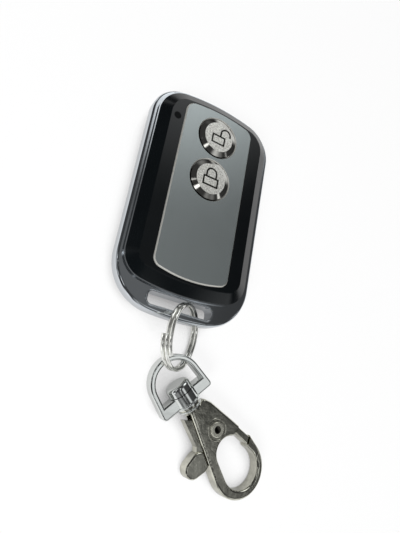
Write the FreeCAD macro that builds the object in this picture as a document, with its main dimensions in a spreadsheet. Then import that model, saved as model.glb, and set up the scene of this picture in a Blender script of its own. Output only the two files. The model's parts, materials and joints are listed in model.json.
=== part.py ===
import FreeCAD, Part
import math
import os

import Sketcher

# Two-button gate remote control with its split ring and swivel clasp.
# The remote lies on its back: +X runs across it, +Y towards the end with the
# buttons, +Z out of its face. The origin is the centre of the flat back face.
# Lengths are in millimetres and angles in degrees.

SIZES = (
    ("frame_level", 3.7, "back face to the lower edge of the plated frame"),
    ("frame_height", 3.5, "side wall of the plated frame"),
    ("frame_half_width", 18.55, "frame, middle to side"),
    ("frame_top", 30.35, "frame, origin to its top end"),
    ("frame_bottom", 32.0, "frame, origin to its ring end"),
    ("frame_top_lean", 10.8, "half the turn of the bulge at its top end"),
    ("frame_bottom_lean", 6.0, "half the turn of the bulge at its ring end"),
    ("frame_top_corner", 9.2, "corner radius at the top end"),
    ("frame_bottom_corner", 12.3, "corner radius at the ring end"),
    ("frame_round", 0.8, "rounding of the frame's outer edges"),
    ("lip_height", 0.7, "lip round the front cover, above the shelf"),
    ("lip_width", 0.3, "lip round the front cover, past the cover"),
    ("cover_half_width", 16.8, "foot of either cover, middle to side"),
    ("cover_top", 29.2, "foot of either cover, origin to its top end"),
    ("cover_bottom", 26.0, "foot of either cover, origin to its ring end"),
    ("cover_top_lean", 10.5, "half the turn of the bulge at its top end"),
    ("cover_bottom_lean", 11.5, "half the turn of the bulge at its ring end"),
    ("cover_top_corner", 8.0, "corner radius of the cover's top end"),
    ("cover_bottom_corner", 6.4, "corner radius of the cover's ring end"),
    ("cover_rise", 1.85, "frame lip to the flat top of the front cover"),
    ("face_inset", 2.7, "slope of the front cover, foot to flat top"),
    ("cover_edge", 0.15, "upright edge of either cover at its foot"),
    ("face_round", 0.35, "rounding of the flat top's edge"),
    ("back_inset", 3.2, "slope of the back cover, foot to flat back"),
    ("back_round", 0.8, "rounding of the flat back's edge"),
    ("opening_inset", 1.2, "cover foot to the frame's opening"),
    ("skirt_clearance", 0.1, "frame's opening to the covers' skirts"),
    ("seam_gap", 0.1, "gap between the two skirts"),
    ("shell_wall", 1.1, "wall of the covers"),
    ("roof", 1.35, "flat top to the front cover's ceiling"),
    ("floor", 1.2, "back face to the back cover's floor"),
    ("floor_inset", 1.2, "slope of the back cover's inner wall"),
    ("plate_half_width", 10.35, "face plate, middle to side"),
    ("plate_top", 26.2, "face plate, origin to its top end"),
    ("plate_bottom", 22.55, "face plate, origin to its ring end"),
    ("plate_top_lean", 10.6, "half the turn of the bulge at its top end"),
    ("plate_bottom_lean", 14.8, "half the turn of the bulge at its ring end"),
    ("plate_top_corner", 2.9, "corner radius of the plate, top end"),
    ("plate_bottom_corner", 2.45, "corner radius of the plate, ring end"),
    ("plate_thickness", 0.6, "face plate"),
    ("plate_recess", 0.25, "depth of the plate's seat in the cover"),
    ("plate_clearance", 0.08, "face plate to the edge of its seat"),
    ("plate_bevel", 0.3, "bright bevel round the plate"),
    ("unlock_y", 18.3, "centre of the upper button"),
    ("lock_y", 5.5, "centre of the lower button"),
    ("hole_radius", 5.75, "button holes in plate and cover"),
    ("hole_bevel", 0.2, "bright bevel round each button hole"),
    ("button_clearance", 0.25, "button to its hole"),
    ("button_proud", 0.6, "button's top above the plate"),
    ("button_bevel", 1.3, "width of the button's polished bevel"),
    ("button_flange", 0.4, "how far the button's flange reaches past the hole"),
    ("button_flange_thickness", 0.5, "flange that holds the button in"),
    ("button_play", 0.05, "flange to the cover's ceiling"),
    ("button_wall", 1.2, "side wall and top of the button's cap"),
    ("button_stem", 1.5, "radius of the button's stem"),
    ("icon_depth", 0.15, "engraving on the buttons"),
    ("icon_line", 0.48, "line width of the engraving"),
    ("unlock_icon_width", 4.1, "open padlock's body, across"),
    ("lock_icon_width", 4.6, "closed padlock's body, across"),
    ("icon_height", 2.75, "padlock's body, along"),
    ("icon_drop", 0.8, "padlock's body below the button's centre"),
    ("shackle_radius", 1.4, "padlock's bow, middle of its line"),
    ("shackle_leg", 1.0, "straight legs of the padlock's bow"),
    ("board_level", 5.0, "back face to the circuit board"),
    ("board_thickness", 0.8, "circuit board"),
    ("board_clearance", 0.3, "circuit board to the covers' walls"),
    ("switch_width", 4.5, "tact switch, square"),
    ("switch_height", 1.2, "tact switch without its plunger"),
    ("plunger_height", 0.4, "switch plunger above its housing"),
    ("plunger_radius", 1.2, "switch plunger"),
    ("plunger_clearance", 0.06, "plunger to its well"),
    ("plunger_depth", 0.6, "plunger inside its well"),
    ("well_depth", 0.95, "well in the switch housing"),
    ("led_x", 12.3, "indicator window, left of the middle"),
    ("led_y", 19.45, "indicator window, along"),
    ("lens_radius", 1.0, "indicator window"),
    ("lens_clearance", 0.03, "lens to its hole"),
    ("lens_flange", 0.5, "lens flange past its hole"),
    ("lens_flange_thickness", 0.5, "lens flange"),
    ("lens_length", 1.0, "lens below its flange"),
    ("led_width", 1.6, "indicator lamp, across"),
    ("led_height", 0.7, "indicator lamp, tall"),
    ("screw_x", 11.2, "cover screws, middle to side"),
    ("screw_upper_y", 11.9, "upper pair of cover screws"),
    ("screw_lower_y", 17.8, "lower pair of cover screws, towards the ring"),
    ("screw_radius", 0.9, "cover screw's thread"),
    ("screw_clearance", 0.2, "screw to the holes that it passes"),
    ("thread_clearance", 0.02, "screw to the hole that holds it"),
    ("screw_head_radius", 1.7, "cover screw's head"),
    ("screw_head_height", 1.0, "cover screw's head"),
    ("screw_sink", 0.9, "back face to the screw's head"),
    ("screw_length", 6.0, "thread below the head"),
    ("screw_slot", 0.45, "width of the driver cross in the head"),
    ("boss_radius", 1.9, "front cover's screw bosses"),
    ("back_boss_radius", 2.6, "back cover's screw bosses"),
    ("cell_radius", 10.0, "coin cell"),
    ("cell_thickness", 3.2, "coin cell"),
    ("cell_step", 0.6, "coin cell's smaller cap, in from its edge"),
    ("cell_y", 8.0, "coin cell, towards the ring from the origin"),
    ("contact_height", 0.3, "sprung contact between cell and board"),
    ("contact_radius", 3.0, "sprung contact between cell and board"),
    ("clip_thickness", 0.25, "battery clip's sheet"),
    ("clip_width", 6.0, "battery clip, along"),
    ("clip_clearance", 0.15, "battery clip's legs to the cell"),
    ("clip_foot", 1.6, "battery clip's soldered feet"),
    ("fence_length", 8.0, "ribs that centre the cell"),
    ("fence_thickness", 0.8, "ribs that centre the cell"),
    ("fence_height", 1.8, "ribs that centre the cell"),
    ("fence_clearance", 0.3, "ribs to the cell"),
    ("chip_length", 8.7, "encoder chip"),
    ("chip_width", 3.9, "encoder chip"),
    ("chip_height", 1.4, "encoder chip"),
    ("chip_x", 3.2, "encoder chip, right of the middle"),
    ("chip_y", 6.4, "encoder chip, towards the ring"),
    ("lead_pitch", 1.27, "chip's leads"),
    ("lead_width", 0.42, "chip's leads"),
    ("lead_length", 1.05, "chip's leads"),
    ("lead_thickness", 0.25, "chip's leads"),
    ("resonator_length", 5.0, "radio resonator, across"),
    ("resonator_width", 3.5, "radio resonator, along"),
    ("resonator_height", 1.4, "radio resonator"),
    ("resonator_x", 7.6, "radio resonator, left of the middle"),
    ("resonator_y", 4.6, "radio resonator, towards the ring"),
    ("transistor_length", 2.9, "radio transistor"),
    ("transistor_width", 1.3, "radio transistor"),
    ("transistor_height", 1.0, "radio transistor"),
    ("transistor_y", 10.0, "radio transistor, towards the ring"),
    ("passive_length", 1.6, "chip resistors and capacitors"),
    ("passive_width", 0.8, "chip resistors and capacitors"),
    ("passive_height", 0.5, "chip resistors and capacitors"),
    ("antenna_half_width", 8.4, "printed loop, middle to side"),
    ("antenna_start", 12.4, "printed loop's open end, towards the ring"),
    ("antenna_end", 20.4, "printed loop's closed end, towards the ring"),
    ("antenna_trace", 1.0, "width of the printed loop"),
    ("antenna_thickness", 0.07, "copper of the printed loop"),
    ("slot_half_length", 8.7, "key slot, middle to end"),
    ("slot_centre", 28.35, "key slot, towards the ring"),
    ("slot_width", 3.1, "key slot"),
    ("slot_corner", 1.1, "corner radius of the key slot"),
    ("bead_width", 0.4, "raised rim round the key slot"),
    ("bead_height", 0.3, "raised rim round the key slot"),
    ("ring_wire", 0.95, "split ring's wire"),
    ("ring_radius", 7.83, "split ring, to the middle of its wire"),
    ("ring_gap", 0.06, "gap between the ring's turns"),
    ("ring_turns", 2.1, "split ring's turns"),
    ("ring_x", 2.35, "ring's centre, right of the middle"),
    ("ring_reach", 6.83, "slot to the ring's centre"),
    ("ring_lift", 2.43, "frame's lower edge to the ring's centre"),
    ("ring_tilt", 41.2, "ring's axis, from upright"),
    ("ring_heading", -4.8, "ring's axis, about upright"),
    ("ring_spin", 192.0, "where the ring's wire starts"),
    ("hang_slack", 0.19, "ring's wire to the eye's bow, where it hangs"),
    ("hang_heading", -109.03, "ring's centre to where the eye hangs, about upright"),
    ("hang_pitch", 12.96, "ring's centre to where the eye hangs, downwards"),
    ("clasp_heading", -41.1, "clasp's axis, about upright"),
    ("clasp_pitch", 3.7, "clasp's axis, hook end down"),
    ("eye_roll", 7.0, "swivel eye, about the clasp's axis"),
    ("eye_radius", 6.7, "swivel eye's bow, outside"),
    ("eye_reach", 5.8, "foot of the eye to the bow's centre"),
    ("eye_half_width", 7.4, "foot of the eye, middle to side"),
    ("eye_bar", 1.4, "width of the eye's bow"),
    ("eye_base", 3.0, "width of the eye's foot"),
    ("eye_thickness", 3.2, "swivel eye"),
    ("eye_round", 0.45, "rounding of the eye's edges"),
    ("eye_corner", 0.9, "rounding of the foot's outer corners"),
    ("barrel_radius", 3.2, "eye's barrel round the post"),
    ("barrel_overhang", 0.35, "barrel past the foot, hook side"),
    ("post_radius", 1.25, "swivel post"),
    ("post_clearance", 0.07, "swivel post to the barrel"),
    ("post_seat", 1.5, "swivel post inside the clasp's neck"),
    ("seat_clearance", 0.02, "swivel post to the neck"),
    ("head_radius", 3.1, "swivel post's head"),
    ("head_length", 2.3, "swivel post's head"),
    ("head_round", 0.95, "rounding of the head"),
    ("swivel_play", 0.15, "barrel to the head and to the collar"),
    ("collar_radius", 2.8, "clasp's collar"),
    ("collar_length", 1.4, "clasp's collar"),
    ("clasp_thickness", 3.6, "clasp"),
    ("clasp_round", 0.7, "rounding of the clasp's outer edges"),
    ("clasp_corner", 0.8, "rounding of the plate's corners"),
    ("neck_x", 1.7, "foot of the eye to the plate's straight end"),
    ("neck_left", 1.3, "straight end of the plate, left of the axis"),
    ("neck_right", 3.6, "straight end of the plate, right of the axis"),
    ("neck_flare", 1.9, "straight end to the plate's widest neck, along"),
    ("neck_spread", 1.1, "straight end to the plate's widest neck, across"),
    ("shoulder_x", 17.6, "foot of the eye to the shoulder's centre"),
    ("shoulder_y", 5.0, "shoulder's centre, off the axis"),
    ("shoulder_radius", 4.0, "shoulder of the hook, outside"),
    ("hook_x", 21.4, "foot of the eye to the hook's centre"),
    ("hook_y", 1.7, "hook's centre, off the axis"),
    ("hook_wall", 2.3, "hook, outside to its opening's wide end"),
    ("mouth_x", 21.8, "foot of the eye to the opening's wide end"),
    ("mouth_y", 2.1, "opening's wide end, off the axis"),
    ("mouth_radius", 5.1, "wide end of the hook's opening"),
    ("throat_x", 16.9, "foot of the eye to the opening's narrow end"),
    ("throat_y", 1.9, "opening's narrow end, off the axis"),
    ("throat_radius", 4.0, "narrow end of the hook's opening"),
    ("mouth_round", 0.6, "rounding of the opening's edges"),
    ("pivot_x", 9.75, "foot of the eye to the trigger's pivot"),
    ("pivot_y", 2.0, "trigger's pivot, off the axis"),
    ("gate_reach", 10.25, "pivot to the end face of the gate"),
    ("gate_angle", 34.5, "direction of the gate from the pivot"),
    ("gate_gap", 0.22, "gate to the hook's tip"),
    ("slit_width", 2.2, "slit that the trigger works in"),
    ("web_thickness", 2.0, "trigger inside the slit"),
    ("trigger_thickness", 3.2, "trigger's gate and thumb tab"),
    ("trigger_hub", 2.0, "trigger round its pivot"),
    ("thumb_ahead", 3.2, "pivot to the thumb tab, along"),
    ("thumb_root", 5.9, "thumb tab's root, left of the axis"),
    ("thumb_end", 8.1, "thumb tab's end, left of the axis"),
    ("thumb_radius", 2.55, "thumb tab at its root"),
    ("thumb_end_radius", 2.2, "thumb tab at its end"),
    ("thumb_round", 0.5, "rounding of the trigger's edges"),
    ("rivet_radius", 1.2, "trigger's rivet"),
    ("rivet_bore", 0.9, "hollow of the rivet"),
    ("rivet_rim", 1.85, "rolled rim of the rivet"),
    ("rivet_rim_height", 0.35, "rolled rim of the rivet"),
    ("rivet_floor", 0.9, "closed end of the rivet"),
    ("rivet_clearance", 0.05, "rivet to the trigger"),
    ("spring_wire", 0.25, "trigger's coil spring"),
    ("spring_radius", 0.8, "trigger's coil spring, to the middle of its wire"),
    ("spring_turns", 5.0, "trigger's coil spring"),
    ("spring_behind", 4.15, "pivot to the spring, along"),
    ("spring_foot", 1.45, "fixed end of the spring, off the axis"),
    ("spring_length", 2.9, "trigger's coil spring"),
)

PASSIVES = ((-2.6, -1.3), (-2.6, -3.3), (-2.6, -10.4), (1.0, -11.0), (4.2, -11.0),
            (7.4, -11.0), (9.4, 0.2), (9.4, 2.2), (-8.7, 0.6))
COVER_SCREWS = ((1, "upper"), (-1, "upper"), (1, "lower"), (-1, "lower"))
BUTTONS = ("unlock", "lock")
LEADS_PER_SIDE = 7

doc = FreeCAD.newDocument("GateRemote")
sheet = doc.addObject("Spreadsheet::Sheet", "Sizes")


def fill_sheet():
    for row, (alias, number, note) in enumerate(SIZES, start=1):
        sheet.set(f"A{row}", note)
        sheet.set(f"B{row}", str(number))
        sheet.setAlias(f"B{row}", alias)
    doc.recompute()


class Size:
    """A number to draw with, and the text that binds it to the sheet."""

    def __init__(self, number, text):
        self.number = number
        self.text = text

    @staticmethod
    def of(value):
        return value if isinstance(value, Size) else Size(float(value), repr(float(value)))

    def joined(self, other, sign, number):
        return Size(number, f"({self.text} {sign} {Size.of(other).text})")

    def __add__(self, other):
        return self.joined(other, "+", self.number + Size.of(other).number)

    def __sub__(self, other):
        return self.joined(other, "-", self.number - Size.of(other).number)

    def __mul__(self, other):
        return self.joined(other, "*", self.number * Size.of(other).number)

    def __truediv__(self, other):
        return self.joined(other, "/", self.number / Size.of(other).number)

    def __rsub__(self, other):
        return Size.of(other) - self

    def __neg__(self):
        return Size(-self.number, f"(-1 * {self.text})")


def size(alias):
    return Size(float(sheet.get(alias)), f"Sizes.{alias}")


def cosine(angle):
    return Size(math.cos(math.radians(angle.number)), f"cos({angle.text} * 1 deg)")


def sine(angle):
    return Size(math.sin(math.radians(angle.number)), f"sin({angle.text} * 1 deg)")


def bind(item, path, value):
    item.setExpression(path, Size.of(value).text)


# Sketches

def new_body(label):
    body = doc.addObject("PartDesign::Body", label)
    body.Label = label
    return body


def new_sketch(body, name, level=0, role="XY_Plane"):
    sketch = body.newObject("Sketcher::SketchObject", name)
    plane = next(item for item in body.Origin.OriginFeatures if item.Role == role)
    sketch.AttachmentSupport = [(plane, "")]
    sketch.MapMode = "FlatFace"
    bind(sketch, "AttachmentOffset.Base.z", level)
    return sketch


def drive(sketch, *constraint):
    """Add a constraint whose last item is a Size, and bind it to the sheet."""
    value = Size.of(constraint[-1])
    index = sketch.addConstraint(Sketcher.Constraint(*constraint[:-1], value.number))
    sketch.setExpression(f"Constraints[{index}]", value.text)


def pin(sketch, geometry, point, x, y):
    """Hold a point of the sketch at x, y from its origin."""
    for kind, axis, value in (("DistanceX", -2, Size.of(x)), ("DistanceY", -1, Size.of(y))):
        if abs(value.number) < 1e-9:
            sketch.addConstraint(Sketcher.Constraint("PointOnObject", geometry, point, axis))
        elif value.number > 0:
            drive(sketch, kind, -1, 1, geometry, point, value)
        else:
            drive(sketch, kind, geometry, point, -1, 1, -value)


def arc(x, y, radius, start, end):
    circle = Part.Circle(FreeCAD.Vector(x, y, 0), FreeCAD.Vector(0, 0, 1), radius)
    return Part.ArcOfCircle(circle, start, end)


def line(x1, y1, x2, y2):
    return Part.LineSegment(FreeCAD.Vector(x1, y1, 0), FreeCAD.Vector(x2, y2, 0))


def join_smoothly(sketch, first, count):
    """Make a closed run of edges tangent, end to start."""
    for index in range(count):
        sketch.addConstraint(Sketcher.Constraint(
            "Tangent", first + index, 2, first + (index + 1) % count, 1))


def add_circle(sketch, x, y, radius):
    x, y, radius = Size.of(x), Size.of(y), Size.of(radius)
    index = sketch.addGeometry(Part.Circle(
        FreeCAD.Vector(x.number, y.number, 0), FreeCAD.Vector(0, 0, 1), radius.number))
    pin(sketch, index, 3, x, y)
    drive(sketch, "Radius", index, radius)


def add_polygon(sketch, corners):
    corners = [(Size.of(x), Size.of(y)) for x, y in corners]
    first = sketch.GeometryCount
    for start, end in zip(corners, corners[1:] + corners[:1]):
        sketch.addGeometry(line(start[0].number, start[1].number, end[0].number, end[1].number))
    for index, (x, y) in enumerate(corners):
        before = first + (index - 1) % len(corners)
        sketch.addConstraint(Sketcher.Constraint("Coincident", before, 2, first + index, 1))
        pin(sketch, first + index, 1, x, y)


def add_box(sketch, x, y, width, height):
    """A rectangle about the point x, y."""
    x, y, half_width, half_height = Size.of(x), Size.of(y), Size.of(width) / 2, Size.of(height) / 2
    add_polygon(sketch, ((x - half_width, y - half_height), (x + half_width, y - half_height),
                         (x + half_width, y + half_height), (x - half_width, y + half_height)))


def add_hull(sketch, x1, y1, radius1, x2, y2, radius2):
    """Two circles and the straight sides that touch both."""
    x1, y1, radius1, x2, y2, radius2 = map(Size.of, (x1, y1, radius1, x2, y2, radius2))
    heading = math.atan2(y2.number - y1.number, x2.number - x1.number)
    apart = math.hypot(x2.number - x1.number, y2.number - y1.number)
    lean = math.acos((radius1.number - radius2.number) / apart)
    low, high = heading - lean, heading + lean

    def touch(x, y, radius, angle):
        return x.number + radius.number * math.cos(angle), y.number + radius.number * math.sin(angle)

    first = sketch.GeometryCount
    sketch.addGeometry(arc(x1.number, y1.number, radius1.number, high, low + 2 * math.pi))
    sketch.addGeometry(line(*touch(x1, y1, radius1, low), *touch(x2, y2, radius2, low)))
    sketch.addGeometry(arc(x2.number, y2.number, radius2.number, low, high))
    sketch.addGeometry(line(*touch(x2, y2, radius2, high), *touch(x1, y1, radius1, high)))
    join_smoothly(sketch, first, 4)
    pin(sketch, first, 3, x1, y1)
    pin(sketch, first + 2, 3, x2, y2)
    drive(sketch, "Radius", first, radius1)
    drive(sketch, "Radius", first + 2, radius2)


class Outline:
    """A rounded rectangle whose two ends bulge, the plan shape of the remote."""

    def __init__(self, half_width, *ends):
        self.half_width = half_width
        self.ends = ends

    @staticmethod
    def named(name):
        return Outline(size(f"{name}_half_width"), *(
            (size(f"{name}_{end}"), size(f"{name}_{end}_lean"), size(f"{name}_{end}_corner"))
            for end in ("top", "bottom")))

    def grown(self, by):
        return Outline(self.half_width + by, *(
            (distance + by, lean, corner + by) for distance, lean, corner in self.ends))

    def draw(self, sketch):
        half = self.half_width.number
        solved = []
        for distance, lean, corner in self.ends:
            bow = corner + (self.half_width - corner) / sine(lean)
            middle = distance.number - bow.number
            turn = math.radians(90 - lean.number)
            side = middle + (bow.number - corner.number) * math.sin(turn)
            solved.append((bow, bow - distance, middle, side, corner, turn))
        (_, _, top_middle, top_side, top_corner, top_turn) = solved[0]
        (_, _, low_middle, low_side, low_corner, low_turn) = solved[1]
        full = 2 * math.pi
        inner_top, inner_low = half - top_corner.number, half - low_corner.number
        first = sketch.GeometryCount
        sketch.addGeometry([
            line(half, -low_side, half, top_side),
            arc(inner_top, top_side, top_corner.number, 0, top_turn),
            arc(0, top_middle, solved[0][0].number, top_turn, math.pi - top_turn),
            arc(-inner_top, top_side, top_corner.number, math.pi - top_turn, math.pi),
            line(-half, top_side, -half, -low_side),
            arc(-inner_low, -low_side, low_corner.number, math.pi, math.pi + low_turn),
            arc(0, -low_middle, solved[1][0].number, math.pi + low_turn, full - low_turn),
            arc(inner_low, -low_side, low_corner.number, full - low_turn, full),
        ])
        join_smoothly(sketch, first, 8)
        for side in (0, 4):
            sketch.addConstraint(Sketcher.Constraint("Vertical", first + side))
        drive(sketch, "DistanceX", -1, 1, first, 1, self.half_width)
        drive(sketch, "DistanceX", first + 4, 1, -1, 1, self.half_width)
        for bow_arc, (bow, offset, *_) in ((2, solved[0]), (6, solved[1])):
            sketch.addConstraint(Sketcher.Constraint("PointOnObject", first + bow_arc, 3, -2))
            drive(sketch, "Radius", first + bow_arc, bow)
        drive(sketch, "DistanceY", first + 2, 3, -1, 1, solved[0][1])
        drive(sketch, "DistanceY", -1, 1, first + 6, 3, solved[1][1])
        for corner_arc, corner in ((1, top_corner), (3, top_corner), (5, low_corner), (7, low_corner)):
            drive(sketch, "Radius", first + corner_arc, corner)
        return sketch


def outlined(body, name, outline, level):
    return outline.draw(new_sketch(body, name, level))


def with_circles(body, name, level, circles, role="XY_Plane"):
    sketch = new_sketch(body, name, level, role)
    for x, y, radius in circles:
        add_circle(sketch, x, y, radius)
    return sketch


def with_hulls(body, name, level, *hulls):
    sketch = new_sketch(body, name, level)
    for hull in hulls:
        add_hull(sketch, *hull)
    return sketch


def with_polygon(body, name, level, corners):
    sketch = new_sketch(body, name, level)
    add_polygon(sketch, corners)
    return sketch


# Features

def pad(body, sketch, length, down=False, both=False):
    feature = body.newObject("PartDesign::Pad", "Pad")
    feature.Profile = sketch
    feature.Reversed = down
    feature.SideType = "Symmetric" if both else "One side"
    bind(feature, "Length", length)
    return feature


def pocket(body, sketch, length, up=False, both=False):
    feature = body.newObject("PartDesign::Pocket", "Pocket")
    feature.Profile = sketch
    feature.Reversed = up
    feature.SideType = "Symmetric" if both else "One side"
    bind(feature, "Length", length)
    return feature


def loft(body, kind, lower, upper):
    feature = body.newObject(f"PartDesign::{kind}Loft", "Loft")
    feature.Profile = lower
    feature.Sections = [upper]
    feature.Ruled = True
    return feature


def edges_where(body, test):
    """Names of the tip's edges that the test picks."""
    doc.recompute()
    return [f"Edge{index}" for index, edge in enumerate(body.Tip.Shape.Edges, start=1) if test(edge)]


def dress(body, kind, path, amount, test):
    """Round or bevel the edges that the test picks."""
    base, edges = body.Tip, edges_where(body, test)
    if not edges:
        raise RuntimeError(f"{body.Label} has no edge to {kind.lower()}")
    feature = body.newObject(f"PartDesign::{kind}", kind)
    feature.Base = (base, edges)
    bind(feature, path, amount)
    return feature


def slope(body, inset, height, level):
    """Bevel the edges at a level, further in than down."""
    feature = dress(body, "Chamfer", "Size", height, lambda edge: at_level(edge, level))
    feature.ChamferType = "Two distances"
    bind(feature, "Size2", inset)


def at_level(edge, level):
    box = edge.BoundBox
    return abs(box.ZMin - level.number) < 1e-4 and abs(box.ZMax - level.number) < 1e-4


def on_faces(edge, half):
    return at_level(edge, half) or at_level(edge, -half)


def is_upright(edge):
    box = edge.BoundBox
    return box.XLength < 1e-4 and box.YLength < 1e-4


def reach(edge):
    """Farthest corner of an edge from the body's upright axis, in plan."""
    box = edge.BoundBox
    return max(abs(box.XMin), abs(box.XMax)), max(abs(box.YMin), abs(box.YMax))


def is_ring(edge, radius):
    return edge.Curve.TypeId == "Part::GeomCircle" and abs(edge.Curve.Radius - radius.number) < 1e-4


# Levels and outlines that several pieces share

def levels():
    lip = size("frame_level") + size("frame_height") + size("lip_height")
    face = lip + size("cover_rise")
    seat = face - size("plate_recess")
    plate = seat + size("plate_thickness")
    ceiling = face - size("roof")
    board_top = size("board_level") + size("board_thickness")
    return dict(shelf=size("frame_level") + size("frame_height"), lip=lip, face=face, seat=seat,
                plate=plate, ceiling=ceiling, board_top=board_top,
                front_skirt=board_top + size("seam_gap") / 2, back_skirt=board_top - size("seam_gap") / 2,
                button=plate + size("button_proud"),
                switch=board_top + size("switch_height"),
                plunger=board_top + size("switch_height") + size("plunger_height"))


fill_sheet()
LEVEL = levels()
COVER = Outline.named("cover")
OPENING = COVER.grown(-size("opening_inset"))
SKIRT = OPENING.grown(-size("skirt_clearance"))
CAVITY = SKIRT.grown(-size("shell_wall"))
SCREW_HOLE = size("screw_radius") + size("screw_clearance")


def screw_places():
    offsets = {"upper": size("screw_upper_y"), "lower": -size("screw_lower_y")}
    return [(size("screw_x") * side, offsets[row]) for side, row in COVER_SCREWS]


def chrome_frame():
    body = new_body("chrome_frame")
    pad(body, outlined(body, "Band", Outline.named("frame"), size("frame_level")), size("frame_height"))
    dress(body, "Fillet", "Radius", size("frame_round"),
          lambda edge: at_level(edge, size("frame_level")) or at_level(edge, LEVEL["shelf"]))
    pad(body, outlined(body, "Lip", COVER.grown(size("lip_width")), LEVEL["shelf"]), size("lip_height"))
    slot_length = size("slot_half_length") * 2
    bead = new_sketch(body, "Bead", LEVEL["shelf"])
    add_box(bead, 0, -size("slot_centre"), slot_length + size("bead_width") * 2,
            size("slot_width") + size("bead_width") * 2)
    pad(body, bead, size("bead_height"))
    pocket(body, outlined(body, "Opening", OPENING, LEVEL["lip"]), size("frame_height") * 2)
    slot = new_sketch(body, "Slot", LEVEL["lip"])
    add_box(slot, 0, -size("slot_centre"), slot_length, size("slot_width"))
    pocket(body, slot, size("frame_height") * 2)

    def slot_corner(extra):
        across = size("slot_half_length").number + extra
        along = size("slot_width").number / 2 + extra

        def test(edge):
            x, _ = reach(edge)
            middle = edge.BoundBox.Center
            upright = edge.BoundBox.ZLength > 0.8 * size("bead_height").number
            return (upright and edge.BoundBox.XLength < 1e-4 and abs(x - across) < 1e-4
                    and abs(abs(middle.y + size("slot_centre").number) - along) < 1e-4)
        return test

    dress(body, "Fillet", "Radius", size("slot_corner"), slot_corner(0))
    dress(body, "Fillet", "Radius", size("slot_corner") + size("bead_width"),
          slot_corner(size("bead_width").number))
    bead_top = LEVEL["shelf"] + size("bead_height")
    dress(body, "Fillet", "Radius", size("bead_width") * 0.42, lambda edge: at_level(edge, bead_top))
    return body


def front_cover():
    body = new_body("front_cover")
    pad(body, outlined(body, "Cover", COVER, LEVEL["lip"]), size("cover_rise"))
    slope(body, size("face_inset"), size("cover_rise") - size("cover_edge"), LEVEL["face"])
    dress(body, "Fillet", "Radius", size("face_round"), lambda edge: at_level(edge, LEVEL["face"]))
    pad(body, outlined(body, "Skirt", SKIRT, LEVEL["lip"]), LEVEL["lip"] - LEVEL["front_skirt"], down=True)
    pocket(body, outlined(body, "Cavity", CAVITY, LEVEL["front_skirt"]),
           LEVEL["ceiling"] - LEVEL["front_skirt"], up=True)
    recess = Outline.named("plate").grown(size("plate_clearance"))
    pocket(body, outlined(body, "PlateSeat", recess, LEVEL["seat"]), size("plate_recess") * 2, up=True)
    holes = [(0, size(f"{button}_y"), size("hole_radius")) for button in BUTTONS]
    pocket(body, with_circles(body, "ButtonHoles", LEVEL["seat"], holes), size("roof"))
    window = [(-size("led_x"), size("led_y"), size("lens_radius"))]
    pocket(body, with_circles(body, "Window", LEVEL["face"], window), size("roof") * 1.2)
    bosses = [(x, y, size("boss_radius")) for x, y in screw_places()]
    pad(body, with_circles(body, "Bosses", LEVEL["board_top"], bosses),
        LEVEL["ceiling"] - LEVEL["board_top"] + size("plate_recess"))
    threads = [(x, y, size("screw_radius") + size("thread_clearance")) for x, y in screw_places()]
    pocket(body, with_circles(body, "Threads", LEVEL["board_top"], threads),
           LEVEL["ceiling"] - LEVEL["board_top"], up=True)
    return body


def back_cover():
    body = new_body("back_cover")
    pad(body, outlined(body, "Cover", COVER, 0), size("frame_level"))
    slope(body, size("back_inset"), size("frame_level") - size("cover_edge"), Size.of(0))
    dress(body, "Fillet", "Radius", size("back_round"), lambda edge: at_level(edge, Size.of(0)))
    pad(body, outlined(body, "Skirt", SKIRT, size("frame_level")), LEVEL["back_skirt"] - size("frame_level"))
    loft(body, "Subtractive", outlined(body, "Floor", CAVITY.grown(-size("floor_inset")), size("floor")),
         outlined(body, "Rim", CAVITY, LEVEL["back_skirt"]))
    bosses = [(x, y, size("back_boss_radius")) for x, y in screw_places()]
    pad(body, with_circles(body, "Bosses", size("floor"), bosses), size("board_level") - size("floor"))
    fence_reach = size("cell_radius") + size("fence_clearance") + size("fence_thickness") / 2
    fences = new_sketch(body, "Fences", size("floor"))
    for side in (1, -1):
        add_box(fences, 0, fence_reach * side - size("cell_y"), size("fence_length"), size("fence_thickness"))
    pad(body, fences, size("fence_height"))
    sinks = [(x, y, size("screw_head_radius") + size("screw_clearance")) for x, y in screw_places()]
    pocket(body, with_circles(body, "Sinks", 0, sinks), size("screw_sink") + size("screw_head_height"),
           up=True)
    holes = [(x, y, SCREW_HOLE) for x, y in screw_places()]
    pocket(body, with_circles(body, "Holes", 0, holes), size("board_level"), up=True)
    return body


def face_plate():
    body = new_body("face_plate")
    pad(body, outlined(body, "Plate", Outline.named("plate"), LEVEL["seat"]), size("plate_thickness"))
    dress(body, "Chamfer", "Size", size("plate_bevel"), lambda edge: at_level(edge, LEVEL["plate"]))
    holes = [(0, size(f"{button}_y"), size("hole_radius")) for button in BUTTONS]
    pocket(body, with_circles(body, "Holes", LEVEL["plate"], holes), size("plate_thickness") * 2)
    dress(body, "Chamfer", "Size", size("hole_bevel"),
          lambda edge: at_level(edge, LEVEL["plate"]) and is_ring(edge, size("hole_radius")))
    return body


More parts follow.
